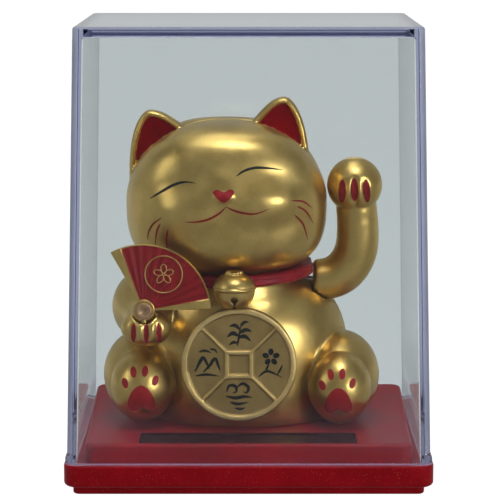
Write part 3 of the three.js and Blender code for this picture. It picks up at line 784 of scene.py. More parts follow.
def red_glitter():
    """Clear red plastic with fine gold glitter in it."""
    material, tree, shader = new_material("red_plastic")
    cloud = noise(tree, 120, 3, 0.6)
    red = two_tone(tree, cloud, (0.20, 0.0008, 0.004), (0.28, 0.0015, 0.007))
    cells = put(tree, "ShaderNodeTexVoronoi", Scale=2800.0)
    tree.links.new(place(tree), cells.inputs["Vector"])
    near = ramp(tree, cells.outputs["Distance"], [(0.16, (1, 1, 1)), (0.22, (0, 0, 0))])
    pick = put(tree, "ShaderNodeSeparateColor")
    tree.links.new(cells.outputs["Color"], pick.inputs["Color"])
    some = ramp(tree, pick.outputs["Red"], [(0.72, (0, 0, 0)), (0.78, (1, 1, 1))])
    both = put(tree, "ShaderNodeMath", operation="MULTIPLY")
    tree.links.new(near, both.inputs[0])
    tree.links.new(some, both.inputs[1])
    flake = both.outputs["Value"]
    faint = span(tree, flake, 0.0, 0.35)
    tree.links.new(mix(tree, faint, red, (0.9, 0.30, 0.12)), shader.inputs["Base Color"])
    tree.links.new(faint, shader.inputs["Metallic"])
    uneven_gloss(tree, shader, cloud, 0.29, 0.36)
    shader.inputs["Specular IOR Level"].default_value = 0.1
    bump(tree, shader, noise(tree, 420, 2, 0.5), 0.08, 0.0001)
    return material


def satin_paint(name, light, dark, rough=0.38, scale=700, shine=0.15):
    """Brushed-on paint: slightly streaky in colour and gloss."""
    material, tree, shader = new_material(name)
    cloud = noise(tree, scale, 4, 0.6, (1, 1, 0.35))
    tree.links.new(two_tone(tree, cloud, dark, light), shader.inputs["Base Color"])
    uneven_gloss(tree, shader, cloud, rough - 0.08, rough + 0.08)
    shader.inputs["Specular IOR Level"].default_value = shine
    bump(tree, shader, noise(tree, 3500, 3, 0.6), 0.25, 0.00004)
    return material


def plastic(name, light, dark, rough=0.45):
    material, tree, shader = new_material(name)
    cloud = noise(tree, 300, 4, 0.6)
    tree.links.new(two_tone(tree, cloud, dark, light), shader.inputs["Base Color"])
    uneven_gloss(tree, shader, cloud, rough - 0.06, rough + 0.06)
    bump(tree, shader, noise(tree, 4200, 2, 0.5), 0.3, 0.00003)
    return material


def metal(name, light, dark, rough, stretch):
    """Bare metal with fine turning or drawing marks."""
    material, tree, shader = new_material(name)
    marks = noise(tree, 2600, 3, 0.6, stretch)
    tree.links.new(two_tone(tree, marks, dark, light), shader.inputs["Base Color"])
    shader.inputs["Metallic"].default_value = 1.0
    uneven_gloss(tree, shader, marks, rough - 0.07, rough + 0.1)
    bump(tree, shader, marks, 0.2, 0.00003)
    return material


def striped(name, light, dark, axis, period_mm, share, rough, metallic=0.0, shine=0.5):
    """Thin lines a set distance apart: cell fingers, wire turns or board tracks."""
    material, tree, shader = new_material(name)
    repeat = put(tree, "ShaderNodeMath", operation="MULTIPLY")
    repeat.inputs[1].default_value = 1 / (period_mm * MM)
    tree.links.new(split_axes(tree)[axis], repeat.inputs[0])
    part = put(tree, "ShaderNodeMath", operation="FRACT")
    tree.links.new(repeat.outputs["Value"], part.inputs[0])
    white, black = (1, 1, 1), (0, 0, 0)
    line = ramp(tree, part.outputs["Value"], [(0.0, white), (share, white), (share + 0.04, black)])
    cloud = noise(tree, 350, 3, 0.6)
    soft = mix(tree, span(tree, cloud, 0, 0.5), dark, tuple(0.6 * c for c in dark))
    tree.links.new(mix(tree, line, soft, light), shader.inputs["Base Color"])
    fix(shader, {"Metallic": metallic, "Specular IOR Level": shine})
    uneven_gloss(tree, shader, cloud, rough, rough + 0.12)
    bump(tree, shader, line, 0.3, 0.00004)
    return material


def clear_plastic():
    """Clear moulded plastic, tinted darker towards the back as painted shade that dims the backdrop
    seen through it, and faintly clouded near its foot.

    It lets shadow rays through, so that light reaches what is inside."""
    material, tree, shader = new_material("clear_plastic")
    axes = split_axes(tree)
    near = two_tone(tree, noise(tree, 60, 2, 0.5), (0.83, 0.855, 0.84), (0.845, 0.87, 0.855))
    # Painted shade: the back is tinted darker than the front, so that the backdrop seen through the box
    # looks dimmer.
    rear = span(tree, axes["Y"], 0, 1, -COVER["half_y"] * MM, COVER["half_y"] * MM)
    tree.links.new(mix(tree, rear, near, (0.56, 0.59, 0.585)), shader.inputs["Base Color"])
    fix(shader, {"Specular Tint": (0.3, 0.3, 0.32, 1), "Transmission Weight": 1.0, "IOR": 1.49})
    fix(shader, {"Specular IOR Level": 0.10, "Roughness": 0.0})
    passing = put(tree, "ShaderNodeBsdfTransparent", Color=(0.965, 0.975, 0.98, 1))
    path = put(tree, "ShaderNodeLightPath")
    haze = put(tree, "ShaderNodeBsdfTranslucent", Color=(0.56, 0.54, 0.64, 1))
    clouding = span(tree, axes["Z"], 0.075, 0.001, 11 * MM, 22 * MM)
    surface = shader.outputs["BSDF"]
    for factor, other in ((path.outputs["Is Shadow Ray"], passing), (clouding, haze)):
        chosen = put(tree, "ShaderNodeMixShader")
        tree.links.new(factor, chosen.inputs["Fac"])
        tree.links.new(surface, chosen.inputs[1])
        tree.links.new(other.outputs["BSDF"], chosen.inputs[2])
        surface = chosen.outputs["Shader"]
    output = tree.nodes["Material Output"]
    tree.links.new(surface, output.inputs["Surface"])
    absorb = put(tree, "ShaderNodeVolumeAbsorption", Color=(0.42, 0.44, 0.72, 1), Density=22.0)
    tree.links.new(absorb.outputs["Volume"], output.inputs["Volume"])
    return material


def edge_light_paint():
    """The front corners and the roof's edges of the clear box in a bluish violet: painted light
    standing in for the light that the walls carry along where they are seen edge-on.
    """
    material, tree, shader = new_material("edge_light_paint")
    tint = two_tone(tree, noise(tree, 90, 2, 0.5), (0.26, 0.285, 0.42), (0.31, 0.335, 0.47))
    tree.links.new(tint, shader.inputs["Base Color"])
    fix(shader, {"Transmission Weight": 0.4, "IOR": 1.49, "Roughness": 0.5})
    return material


GOLD = gold_paint("gold_paint", (0.70, 0.49, 0.165), (0.56, 0.37, 0.105), (0.29, 0.37))
COIN_GOLD = coin_gold()
RED_PLASTIC = red_glitter()
EAR_RED = satin_paint("ear_red_paint", (0.21, 0.0004, 0.003), (0.17, 0.0004, 0.002), 0.7, shine=0.0)
LINE_RED = satin_paint("line_red_paint", (0.25, 0.010, 0.012), (0.17, 0.006, 0.008), 0.45)
PAD_RED = satin_paint("pad_red_paint", (0.30, 0.012, 0.014), (0.22, 0.008, 0.010), 0.45)
COLLAR_RED = satin_paint("collar_red_paint", (0.31, 0.010, 0.018), (0.22, 0.006, 0.012), 0.36, 300)
FAN_RED = satin_paint("fan_red_paint", (0.24, 0.008, 0.010), (0.17, 0.005, 0.007), 0.4, 350)
# Painted shade: a near black for the walls and floor of the sunk pocket round the solar cell.
POCKET_SHADE = satin_paint("pocket_shade_paint", (0.022, 0.005, 0.005), (0.016, 0.003, 0.003), 0.5, shine=0.05)
INK = satin_paint("dark_paint", (0.016, 0.018, 0.016), (0.008, 0.009, 0.010), 0.45)
CLEAR = clear_plastic()
EDGE_LIGHT_PAINT = edge_light_paint()
# Painted light: a lavender line standing in for the light that the clear wall carries down to its foot.
LIP_LIGHT_PAINT = satin_paint("lip_light_paint", (0.38, 0.22, 0.33), (0.30, 0.16, 0.26), 0.5)
STEEL = metal("steel", (0.78, 0.78, 0.80), (0.55, 0.55, 0.58), 0.28, (1, 1, 8))
MAGNET = metal("magnet", (0.66, 0.66, 0.68), (0.48, 0.48, 0.5), 0.3, (1, 1, 1))
COPPER = striped("copper_wire", (0.30, 0.10, 0.04), (0.78, 0.36, 0.18), "Z", 0.22, 0.2, 0.3, 1.0)
BOARD = striped("board_green", (0.30, 0.42, 0.16), (0.02, 0.20, 0.08), "X", 2.54, 0.12, 0.35)
CELL_LINE, CELL_DARK = (0.024, 0.005, 0.006), (0.018, 0.003, 0.004)
SOLAR_GLASS = striped("solar_glass", CELL_LINE, CELL_DARK, "X", 6.0, 0.03, 0.4, shine=0.05)
WHITE = plastic("white_plastic", (0.82, 0.81, 0.76), (0.72, 0.71, 0.66))
BLACK = plastic("black_plastic", (0.03, 0.03, 0.034), (0.018, 0.018, 0.02), 0.4)
LEAD_RED = plastic("lead_red", (0.55, 0.03, 0.03), (0.40, 0.02, 0.02), 0.4)
AMBER = gold_paint("rivet_gold", (0.50, 0.30, 0.17), (0.36, 0.21, 0.11), (0.42, 0.5))


def keep(piece, body, slot, *nodes):
    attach(piece, body)
    if nodes:
        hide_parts(*nodes)
    return piece


# ---- Cat shells and arm ----
SHELL_CELL = 0.4
FINE_CELL = 0.28


def make_cat():
    front = skin("cat_front", front_shell, (-36, -25, 10), (33, 3.2, 88), SHELL_CELL, GOLD)
    rear = skin("cat_rear", rear_shell, (-36, 0.8, 10), (33, 25, 83), SHELL_CELL, GOLD)
    keep(front, "base", "gold_paint", "body_front_shell")
    keep(rear, "base", "gold_paint", "body_rear_shell")
    arm_low, arm_high = (15, -14, 36), (33, 8, 74)
    front_half = skin("beckoning_arm_front", arm_front, arm_low, arm_high, FINE_CELL, GOLD)
    rear_half = skin("beckoning_arm_rear", arm_rear, arm_low, arm_high, FINE_CELL, GOLD)
    keep(front_half, "arm", "gold_paint", "arm_front_half")
    keep(rear_half, "arm", "gold_paint", "arm_rear_half")
    collar = skin("neck_band", collar_field, (-23, -16, 41), (17, 18, 50), FINE_CELL, COLLAR_RED)
    keep(collar, "base", "red_paint", "collar")


def make_coin_and_bell():
    radius = COIN["radius"] + 1
    low = (COIN["x"] - radius, COIN_FRONT - 1, COIN["z"] - radius)
    high = (COIN["x"] + radius, -12.6, COIN["z"] + radius)
    disc = skin("belly_coin", coin_field, low, high, FINE_CELL * 0.75, COIN_GOLD)
    keep(disc, "base", "coin_gold", "coin")
    x, y, z = BELL["at"]
    low, high = (x - 6, y - 6, z - 6), (x + 6, -8.2, z + 6)
    ball = skin("neck_bell", bell_field, low, high, FINE_CELL * 0.65, GOLD)
    keep(ball, "base", "gold_paint", "bell")


# ---- Painted details ----
def paint_line(name, points, width, material=LINE_RED, slot="red_paint", swell=0.8, count=28):
    xz, faces = ribbon(smooth_line(points, count), brush_widths(count, width, swell=swell))
    return keep(paint_sheet(name, cat_outside, xz, faces, IN_FRONT, material), "base", slot)


def paint_patch(name, outline, material, rings=7, field=cat_outside, start_y=IN_FRONT, body="base"):
    xz, faces = patch(outline, rings)
    return keep(paint_sheet(name, field, xz, faces, start_y, material), body, "red_paint")


def paint_face():
    eyes = {
        "eye_line_right": [(-22.0, 64.2), (-19.0, 66.2), (-16.6, 67.6), (-14.2, 68.3), (-11.6, 68.1)],
        "eye_line_left": [(-2.7, 69.8), (-0.9, 70.9), (1.6, 71.5), (4.6, 71.3), (7.7, 70.8)],
    }
    for name, points in eyes.items():
        paint_line(name, points, 0.62, INK, "black_plastic")
    smile = {
        "mouth_right": [(-5.0, 63.1), (-6.6, 61.5), (-9.0, 60.2), (-11.8, 59.6), (-14.4, 59.6)],
        "mouth_left": [(-5.0, 63.1), (-3.4, 62.3), (-1.0, 61.6), (1.6, 61.5), (4.6, 62.6)],
    }
    for name, points in smile.items():
        paint_line(name, points, 0.5)
    whiskers = [
        [(-19.4, 60.2), (-21.4, 58.4), (-22.5, 56.3), (-22.7, 54.6)],
        [(-19.7, 58.8), (-20.6, 56.6), (-21.0, 53.0)],
        [(-18.0, 57.4), (-18.4, 55.3), (-18.2, 52.4)],
        [(9.6, 64.1), (12.2, 63.4), (14.4, 61.5)],
        [(10.8, 62.6), (12.8, 61.1), (14.7, 57.9)],
        [(10.2, 60.7), (12.2, 58.2), (13.3, 54.5)],
    ]
    for i, points in enumerate(whiskers):
        paint_line(f"whisker_{i + 1}", points, 0.42, swell=0.7, count=20)
    heart = [(-7.9, 66.3), (-6.9, 66.9), (-5.5, 66.4), (-4.1, 67.0)]
    heart += [(-3.2, 66.4), (-3.8, 65.3), (-5.4, 64.1), (-7.1, 65.1)]
    paint_patch("nose_paint", smooth_line(heart, 40, closed=True), PAD_RED, 6)


def paint_ears():
    for side, ear in zip(("right", "left"), EARS):
        outline = ear["outline"]
        middle = np.array([ear["at"][0], ear["at"][2] + 3.0])
        points = []
        for angle in np.linspace(0, 2 * math.pi, 72, endpoint=False):
            step = np.array([math.cos(angle), math.sin(angle)])
            reach = np.linspace(0.2, 14, 140)
            line = middle + reach[:, None] * step
            flat = polygon_field(line[:, 0], line[:, 1], outline) + EAR_RIM + 0.1
            lift = np.column_stack([line[:, 0], np.full(len(line), EAR_FRONT + 1.4), line[:, 1]])
            head = -0.5 - face_field(lift)
            stop = np.argmax(np.maximum(flat, head) > 0)
            points.append(line[max(stop - 1, 0)])
        points = np.array(points)
        for _ in range(2):
            points = (np.roll(points, 1, axis=0) + 2 * points + np.roll(points, -1, axis=0)) / 4
        inside = lambda p, ear=ear: ear_field(p, ear)
        paint_patch(f"ear_paint_{side}", points, EAR_RED, 9, inside, -6)


def pad_outline(centre, scale):
    x, z = centre
    shape = [(0, 3.0), (1.9, 1.9), (3.0, -0.4), (3.2, -2.2), (2.0, -3.1)]
    shape += [(0.2, -2.3), (-1.7, -3.3), (-3.1, -2.4), (-2.9, -0.3), (-1.8, 1.9)]
    return smooth_line([(x + scale * a, z + scale * b) for a, b in shape], 60, closed=True)


def oval(centre, half_x, half_z, lean=0.0, count=28):
    angle = np.linspace(0, 2 * math.pi, count, endpoint=False)
    a, b = half_x * np.cos(angle), half_z * np.sin(angle)
    c, s = math.cos(lean), math.sin(lean)
    return np.column_stack([centre[0] + c * a - s * b, centre[1] + s * a + c * b])


def paint_feet():
    pads = {"right": (-24.3, 19.2), "left": (20.2, 18.6)}
    toes = [(-3.6, 3.2, 0.25), (-1.7, 5.7, 0.1), (0.9, 5.9, -0.1), (3.2, 3.8, -0.25)]
    for side, (x, z) in pads.items():
        paint_patch(f"foot_pad_{side}", pad_outline((x, z), 0.97), PAD_RED)
        for i, (dx, dz, lean) in enumerate(toes):
            outline = oval((x + dx, z + dz), 0.72, 1.15, lean)
            paint_patch(f"toe_{side}_{i + 1}", outline, PAD_RED, 4)


def paint_paws():
    for i, (x, _) in enumerate(FAN_FINGERS):
        outline = oval((x, 34.7), 0.6, 2.3, 0.03 * (i - 1))
        paint_patch(f"fan_paw_line_{i + 1}", outline, LINE_RED, 4)

    def arm_outside(p):
        return arm_form(leaned(p), 0)

    for i, (x, z) in enumerate(ARM_SLITS):
        aside = x - ARM_SLIT_MIDDLE
        outline = oval((x + 0.03 * aside, z + PIVOT[2] - 0.2), 0.85, 2.75, 0.05 + 0.02 * aside)
        paint_patch(f"arm_paw_line_{i + 1}", outline, LINE_RED, 5, arm_outside, -20, "arm")


# ---- Coin ornaments: brush-drawn sprig, blossom, cloud and hills ----
def coin_plane(p):
    return COIN_FACE - p[:, 1]


def coin_stroke(name, points, width, count=18, swell=0.8):
    line = smooth_line([(COIN["x"] + a, COIN["z"] + b) for a, b in points], count)
    xz, faces = ribbon(line, brush_widths(count, width, 0.5, 0.15, swell), 2)
    piece = paint_sheet(name, coin_plane, xz, faces, COIN_FACE - 1, INK)
    return keep(piece, "base", "black_plastic")


def paint_coin():
    drawings = {
        "sprig": [
            ([(-0.4, 4.3), (0.0, 6.4), (0.5, 9.6)], 0.5),
            ([(0.0, 6.2), (1.3, 6.5), (2.7, 5.4)], 0.95),
            ([(0.1, 7.2), (1.5, 8.0), (2.9, 7.6)], 0.9),
            ([(-0.1, 6.6), (-1.4, 7.2), (-2.7, 6.3)], 0.95),
            ([(0.2, 8.1), (-0.9, 9.0), (-2.2, 8.8)], 0.85),
            ([(0.4, 8.8), (1.2, 9.7), (2.2, 9.8)], 0.7),
            ([(-0.3, 5.0), (-1.3, 5.1), (-2.3, 4.4)], 0.7),
        ],
        "cloud": [
            ([(-2.8, -6.3), (-2.2, -4.9), (-0.8, -5.0), (-0.6, -6.2), (-1.5, -6.6)], 0.7),
            ([(-0.4, -5.2), (0.8, -4.4), (2.1, -5.2), (1.8, -6.4), (0.9, -6.3)], 0.75),
            ([(-2.9, -7.3), (-0.8, -7.7), (1.2, -7.4), (3.0, -7.6)], 0.8),
            ([(-2.0, -8.7), (-0.2, -9.1), (2.2, -8.7)], 0.75),
            ([(-0.9, -10.0), (0.4, -10.2), (1.4, -9.9)], 0.6),
        ],
        "hills": [
            ([(-9.9, -1.6), (-8.8, 0.6), (-8.0, 1.6), (-7.2, 0.2), (-6.6, -1.2)], 0.8),
            ([(-8.0, -1.7), (-6.6, -0.2), (-5.4, 1.4), (-4.6, -0.4), (-4.2, -1.6)], 0.75),
            ([(-9.8, -2.6), (-7.2, -2.3), (-4.4, -2.7)], 0.6),
            ([(-9.0, 2.9), (-7.6, 3.2), (-6.2, 2.7)], 0.6),
            ([(-6.6, 3.6), (-5.5, 3.4), (-4.8, 2.6)], 0.5),
        ],
        "twig": [
            ([(4.4, -2.8), (6.0, -1.6), (7.4, -1.8), (9.8, -3.0)], 0.6),
            ([(6.0, -1.6), (6.4, -0.6), (6.8, 0.2)], 0.5),
            ([(8.6, -2.4), (9.4, -1.0), (9.8, 0.0)], 0.45),
        ],
    }
    for name, strokes in drawings.items():
        for i, (points, width) in enumerate(strokes):
            coin_stroke(f"coin_{name}_{i + 1}", points, width)
    for i in range(5):
        angle = math.radians(90 + 72 * i)
        centre = (COIN["x"] + 7.2 + 1.25 * math.cos(angle), COIN["z"] + 1.7 + 1.25 * math.sin(angle))
        xz, faces = patch(oval(centre, 0.75, 0.6, angle), 3)
        petal = paint_sheet(f"coin_petal_{i + 1}", coin_plane, xz, faces, COIN_FACE - 1, INK)
        keep(petal, "base", "black_plastic")


# ---- Fan ----
def fan_point(radius, degrees, y):
    angle = math.radians(degrees)
    return (FAN["x"] + radius * math.cos(angle), y, FAN["z"] + radius * math.sin(angle))


def fan_plate(name, inner, outer, start, stop, depth, material, pleats=0, wave=0.0, rounds=0.0):
    """A sector of a ring between two radii, optionally pleated, as a closed plate."""
    per_pleat = 6
    steps = max(pleats * per_pleat, 12)
    radii = np.linspace(inner, outer, 9)
    front, back = FAN["y"] - depth / 2, FAN["y"] + depth / 2
    layers = []
    for y, edge in ((front, -1), (back, 1)):
        for k, radius in enumerate(radii):
            for j in range(steps + 1):
                share = j / steps
                fold = abs(((share * pleats) % 1) * 2 - 1) if pleats else 0
                lift = wave * (fold - 0.5) * (radius / outer)
                soft = rounds * (k in (0, len(radii) - 1) or j in (0, steps)) * edge
                degrees = start + (stop - start) * share
                layers.append(fan_point(radius, degrees, y + lift - soft))
    across = steps + 1
    sheet = len(radii) * across
    faces = []
    for layer in (0, 1):
        for k in range(len(radii) - 1):
            for j in range(steps):
                a = layer * sheet + k * across + j
                quad = [a, a + across, a + across + 1, a + 1]
                faces.append(quad if layer else quad[::-1])
    rim = [(0, j) for j in range(steps)] + [(k, steps) for k in range(len(radii) - 1)]
    rim += [(len(radii) - 1, j) for j in range(steps, 0, -1)]
    rim += [(k, 0) for k in range(len(radii) - 1, 0, -1)]
    for i, (k, j) in enumerate(rim):
        k2, j2 = rim[(i + 1) % len(rim)]
        a, b = k * across + j, k2 * across + j2
        faces.append([b, a, sheet + a, sheet + b])
    points = np.array(layers)
    faces = [np.array(faces)]
    if volume(points, faces) < 0:
        faces = [face[:, ::-1] for face in faces]
    return make_object(name, points, faces, material, 25)


def tube(name, line, radius, material, closed=False, sides=10, flat=1.0):
    """A round wire along points (n, 3), all in one plane of constant Y."""
    line = np.asarray(line, float)
    count = len(line)
    if closed:
        forward = np.roll(line, -1, axis=0) - np.roll(line, 1, axis=0)
    else:
        forward = np.gradient(line, axis=0)
    forward /= np.linalg.norm(forward, axis=1)[:, None]
    up = np.array([0, 1.0, 0])
    side = np.cross(forward, up)
    rings = []
    for i in range(count):
        for k in range(sides):
            angle = 2 * math.pi * k / sides
            rings.append(line[i] + radius * (math.cos(angle) * side[i] + flat * math.sin(angle) * up))
    faces = []
    spans = count if closed else count - 1
    for i in range(spans):
        for k in range(sides):
            a, b = i * sides + k, i * sides + (k + 1) % sides
            c, d = ((i + 1) % count) * sides + k, ((i + 1) % count) * sides + (k + 1) % sides
            faces.append([a, b, d, c])
    groups = [faces]
    if not closed:
        last = (count - 1) * sides
        groups += [[list(range(sides))[::-1]], [[last + k for k in range(sides)]]]
    points = np.array(rings)
    if volume(points, [np.array(faces)]) < 0:
        groups = [[row[::-1] for row in group] for group in groups]
    return make_object(name, points, groups, material, 40)


def make_fan():
    start, stop = FAN["from"], FAN["to"]
    leaf = fan_plate("fan_leaf", 2.2, FAN["radius"] - 0.3, start + 3, stop - 3, 0.7, FAN_RED, 13, 0.34)
    keep(leaf, "base", "fan_red", "fan")
    arc = [fan_point(FAN["radius"] - 0.15, d, FAN["y"] - 0.1) for d in np.linspace(start, stop, 60)]
    keep(tube("fan_edge", arc, 0.2, GOLD, flat=2.0), "base", "gold_paint")
    wide = 9.5
    for i, first in enumerate((start, stop - wide)):
        name = f"fan_guard_{i + 1}"
        guard = fan_plate(name, 2.2, FAN["radius"], first, first + wide, 1.35, GOLD, rounds=0.22)
        keep(guard, "base", "gold_paint")
    x, z = FAN["x"] + 4.5, FAN["z"] + 8.2
    y = FAN["y"] - 0.52
    around = np.linspace(0, 2 * math.pi, 64, endpoint=False)
    ring = np.column_stack([x + 4.15 * np.cos(around), np.full(64, y), z + 4.15 * np.sin(around)])
    keep(tube("fan_ring", ring, 0.13, GOLD, closed=True), "base", "gold_paint")
    for i in range(5):
        turn = math.radians(90 + 72 * i)
        at = np.array([x + 1.25 * math.cos(turn), z + 1.25 * math.sin(turn)])
        petal = oval(at, 1.0, 0.62, turn, 24)
        line = np.column_stack([petal[:, 0], np.full(24, y), petal[:, 1]])
        keep(tube(f"fan_petal_{i + 1}", line, 0.1, GOLD, closed=True, sides=8), "base", "gold_paint")
    low, high = (FAN["x"] - 3.2, -23.2, 33.8), (FAN["x"] + 3.2, -19, 43)
    keep(skin("fan_hub", hub_field, low, high, 0.16, GOLD), "base", "gold_paint")
    low, high = (FAN["x"] - 2.6, -23.4, FAN["z"] - 2.6), (FAN["x"] + 2.6, -19.6, FAN["z"] + 2.6)
    keep(skin("fan_pivot", rivet_field, low, high, 0.12, AMBER), "base", "gold_paint", "fan_rivet")


def hub_field(p):
    """The round end that the fan's sticks meet in, with the stub that the paw holds."""
    at = (FAN["x"], FAN["z"])
    disc = disc_y(p, at, 2.5, FAN["y"] - 0.62, FAN["y"] + 0.45, 0.25)
    stub = capsule(p, (FAN["x"], FAN["y"], FAN["z"] - 1), (FAN["x"], FAN["y"], 34.8), 0.75)
    return np.maximum(np.minimum(disc, stub), -disc_y(p, at, 0.9, -30, 0))


def rivet_field(p):
    at = (FAN["x"], FAN["z"])
    head = disc_y(p, at, 1.95, FAN["y"] - 1.7, FAN["y"] - 0.78, 0.35)
    dimple = ellipsoid(p, (at[0], FAN["y"] - 2.2, at[1]), (1.2, 0.8, 1.2))
    return np.minimum(carve(head, dimple, 0.3), disc_y(p, at, 0.6, FAN["y"] - 1.2, FAN["y"] + 0.35))


# ---- Base and cover ----
def plinth_ring(inset, z):
    front, back, half_y = (PLINTH[key] - inset for key in ("front", "back", "half_y"))
    return ring_at(outline_rect(front, back, half_y, max(2.4 - inset, 0.5)), z)


def rim_ring(inset, z):
    corner = max(RIM["corner"] - inset, 0.6)
    half_x = RIM["half_x"] - inset
    return ring_at(outline_rect(half_x, half_x, RIM["half_y"] - inset, corner), z)


def cut_with_box(piece, low, high):
    mesh = bpy.data.meshes.new("cutter")
    ends = list(zip(low, high))
    corners = [(x, y, z) for x in ends[0] for y in ends[1] for z in ends[2]]
    quads = [[0, 1, 3, 2], [4, 6, 7, 5], [0, 4, 5, 1], [2, 3, 7, 6], [0, 2, 6, 4], [1, 5, 7, 3]]
    mesh.from_pydata([tuple(v * MM for v in corner) for corner in corners], [], quads)
    cutter = link_new("cutter", mesh)
    modifier = piece.modifiers.new("cut", "BOOLEAN")
    modifier.operation = "DIFFERENCE"
    modifier.solver = "EXACT"
    modifier.object = cutter
    graph = bpy.context.evaluated_depsgraph_get()
    result = bpy.data.meshes.new_from_object(piece.evaluated_get(graph))
    piece.modifiers.clear()
    piece.data = result
    piece.data.set_sharp_from_angle(angle=math.radians(32))
    bpy.data.objects.remove(cutter)


def make_base():
    rings = [plinth_ring(PLINTH["wall"], z) for z in (PLINTH["top"] - 1.6, RIM["bottom"])]
    rings += [rim_ring(inset, z) for inset, z in fillet(RIM["bottom"], 0, 0.9, False)]
    rings += [rim_ring(inset, z) for inset, z in fillet(RIM["top"], 0, 0.35, True)]
    rings += [plinth_ring(0, RIM["top"])]
    rings += [plinth_ring(inset, z) for inset, z in fillet(PLINTH["top"], 0, 0.9, True)]
    base = loft("base_moulding", rings, RED_PLASTIC)
    low_x, high_x = SOLAR["x"] - SOLAR["half_x"], SOLAR["x"] + SOLAR["half_x"]
    low_y, high_y = SOLAR["y"] - SOLAR["half_y"], SOLAR["y"] + SOLAR["half_y"]
    floor_z, top = PLINTH["top"] - SOLAR["sunk"], PLINTH["top"]
    cut_with_box(base, (low_x, low_y, floor_z), (high_x, high_y, top + 2))
    # The faces of the sunk pocket round the solar cell get the painted shade.
    base.data.materials.append(POCKET_SHADE)
    near = 0.05
    for face in base.data.polygons:
        x, y, z = (value / MM for value in face.center)
        across = low_x - near < x < high_x + near and low_y - near < y < high_y + near
        face.material_index = int(across and floor_z - near < z < top - 0.02)
    keep(base, "base", "red_plastic", "base_upper")
    step, plate_top = 2.0, 1.7
    rings = [rim_ring(step + extra, z) for extra, z in fillet(0, 0, 0.5, False)]
    rings += [rim_ring(step + extra, z) for extra, z in fillet(plate_top, 0, 0.2, True)]
    keep(loft("bottom_plate", rings, RED_PLASTIC), "base", "red_plastic", "base_lower")


def cover_ring(inset, z):
    height = (z - COVER["bottom"]) / (COVER["top"] - COVER["bottom"])
    draw = COVER["taper"] * height + inset
    half_x = COVER["half_x"] - draw
    corner = max(COVER["corner"] - 0.6 * inset, 0.3)
    return ring_at(outline_rect(half_x, half_x, COVER["half_y"] - draw, corner, 12), z)


def make_cover():
    """A box open below with a small lip round its foot, with painted lavender and violet light on some
    of its edges.
    """
    top, bottom, wall, lip = COVER["top"], COVER["bottom"], COVER["wall"], COVER["lip"]
    roof = top - COVER["roof"]
    levels = (20, 50, 80)
    rings = [cover_ring(inset, z) for inset, z in fillet(roof, wall, 0.25, True)][::-1]
    rings += [cover_ring(wall, z) for z in (*levels[::-1], bottom + 0.3)]
    foot = [(wall - 0.25, 0), (-0.25, 0), (-lip, 0.15), (-lip, 0.55), (-lip, 1.5)]
    foot += [(-0.25, 2.0), (0, 2.6)]
    rings += [cover_ring(inset, bottom + up) for inset, up in foot]
    rings += [cover_ring(0, z) for z in levels]
    rings += [cover_ring(inset, z) for inset, z in fillet(top, 0, 0.6, True)]
    cover = loft("clear_cover", rings, CLEAR, 40)
    cover.data.materials.append(LIP_LIGHT_PAINT)
    cover.data.materials.append(EDGE_LIGHT_PAINT)
    lip_top, corner_foot, roof_edge = bottom + 0.6, bottom + 3, roof - 1
    steep, flat = 0.3, 0.98
    for face in cover.data.polygons:
        z = face.center.z / MM
        outward = face.normal.x * face.center.x + face.normal.y * face.center.y > 0
        rounded_face = max(abs(part) for part in face.normal) < flat
        front_corner = outward and face.center.y < 0 and z > corner_foot
        # Outward faces of the foot lip get the painted lavender light.
        if outward and abs(face.normal.z) < steep and z < lip_top:
            face.material_index = 1
        # Rounded faces at the front corners and along the roof's edges get the painted violet edge
        # light.
        elif rounded_face and (front_corner or z > roof_edge):
            face.material_index = 2
    keep(cover, "cover", "clear_plastic", "display_cover")


# ---- Finishes of the pieces kept from the frame ----
def finish_nodes():
    finishes = {
        "steel": STEEL,
        "magnet": MAGNET,
        "copper_wire": COPPER,
        "board_green": BOARD,
        "solar_glass": SOLAR_GLASS,
        "white_plastic": WHITE,
        "black_plastic": BLACK,
        "lead_red": LEAD_RED,
        "gold_paint": GOLD,
        "coin_gold": COIN_GOLD,
        "red_plastic": RED_PLASTIC,
        "red_paint": COLLAR_RED,
        "fan_red": FAN_RED,
        "clear_plastic": CLEAR,
    }
    for row in frame["record"]["subparts"]:
        node = NODES[row["node"]]
        node.data.materials.clear()
        node.data.materials.append(finishes[row["material_slot"]])
        node.data.set_sharp_from_angle(angle=math.radians(35))


# ---- Stage, light and camera ----
def backdrop_glow(tree, seen, front, behind, depth):
    """Strength seen directly or through the cover; for reflections and diffuse light instead a
    room that grows from front to behind along depth."""
    path = put(tree, "ShaderNodeLightPath")
    bounced = put(tree, "ShaderNodeMath", operation="ADD")
    tree.links.new(path.outputs["Glossy Depth"], bounced.inputs[0])
    tree.links.new(path.outputs["Diffuse Depth"], bounced.inputs[1])
    room = span(tree, depth, front, behind)
    chosen = put(tree, "ShaderNodeMix", data_type="FLOAT")
    chosen.inputs["A"].default_value = seen
    tree.links.new(bounced.outputs["Value"], chosen.inputs["Factor"])
    tree.links.new(room, chosen.inputs["B"])
    return chosen.outputs["Result"]


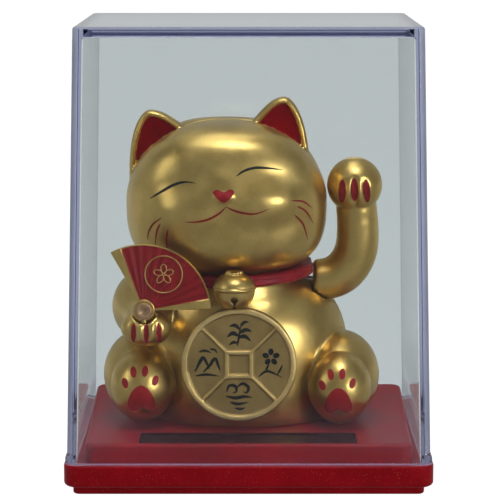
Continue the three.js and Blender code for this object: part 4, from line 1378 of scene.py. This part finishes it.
def make_floor():
    material, tree, shader = new_material("floor_white")
    fix(shader, {"Base Color": (0.12, 0.122, 0.125, 1), "Emission Color": (0.97, 0.99, 1, 1)})
    fix(shader, {"Roughness": 0.9, "Specular IOR Level": 0.1})
    depth = span(tree, split_axes(tree, "ShaderNodeNewGeometry", "Position")["Y"], 0, 1, -0.02, 0.15)
    tree.links.new(backdrop_glow(tree, 1.02, 0.28, 0.8, depth), shader.inputs["Emission Strength"])
    half = 4000
    points = [(-half, -half, 0), (half, -half, 0), (half, half, 0), (-half, half, 0)]
    floor = make_object("floor", points, [[[0, 1, 2, 3]]], material)
    floor.location.z = -0.0002


def softbox(name, at, width, height, power):
    """A soft rectangular light aimed at the middle of the object."""
    data = bpy.data.lights.new(name, "AREA")
    data.shape = "RECTANGLE"
    data.size, data.size_y = width, height
    data.energy = power
    light = link_new(name, data)
    light.location = at
    light.rotation_mode = "QUATERNION"
    light.rotation_quaternion = (Vector((0, 0, 0.05)) - Vector(at)).to_track_quat("-Z", "Y")


def make_lights():
    world = bpy.data.worlds.new("studio")
    world.use_nodes = True
    tree = world.node_tree
    background = tree.nodes["Background"]
    background.inputs["Color"].default_value = (0.95, 0.98, 1.0, 1)
    depth = span(tree, split_axes(tree, "ShaderNodeTexCoord", "Generated")["Y"], 0, 1, 0.2, 0.6)
    tree.links.new(backdrop_glow(tree, 1.1, 0.25, 0.6, depth), background.inputs["Strength"])
    bpy.context.scene.world = world
    softbox("top_box", (-0.05, 0.02, 0.62), 0.50, 0.24, 0.9)
    softbox("key_box", (0.05, -0.23, 0.60), 0.13, 0.11, 1.05)
    softbox("right_box", (0.42, -0.48, 0.12), 0.15, 0.10, 1.15)
    softbox("left_box", (-0.5, -0.25, 0.26), 0.2, 0.3, 0.42)


def make_camera():
    data = bpy.data.cameras.new("camera")
    data.sensor_width = 36
    data.lens = 149.4
    camera = link_new("camera", data)
    camera.location = (0.00029, -0.4757, 0.12895)
    camera.rotation_euler = (math.radians(90 - 9.45), 0, 0)
    data.clip_start = 0.01
    bpy.context.scene.camera = camera
    bpy.context.scene.view_settings.view_transform = "Standard"


finish_nodes()
make_base()
make_cover()
make_cat()
make_coin_and_bell()
paint_face()
paint_ears()
paint_feet()
paint_paws()
paint_coin()
make_fan()
make_floor()
make_lights()
make_camera()
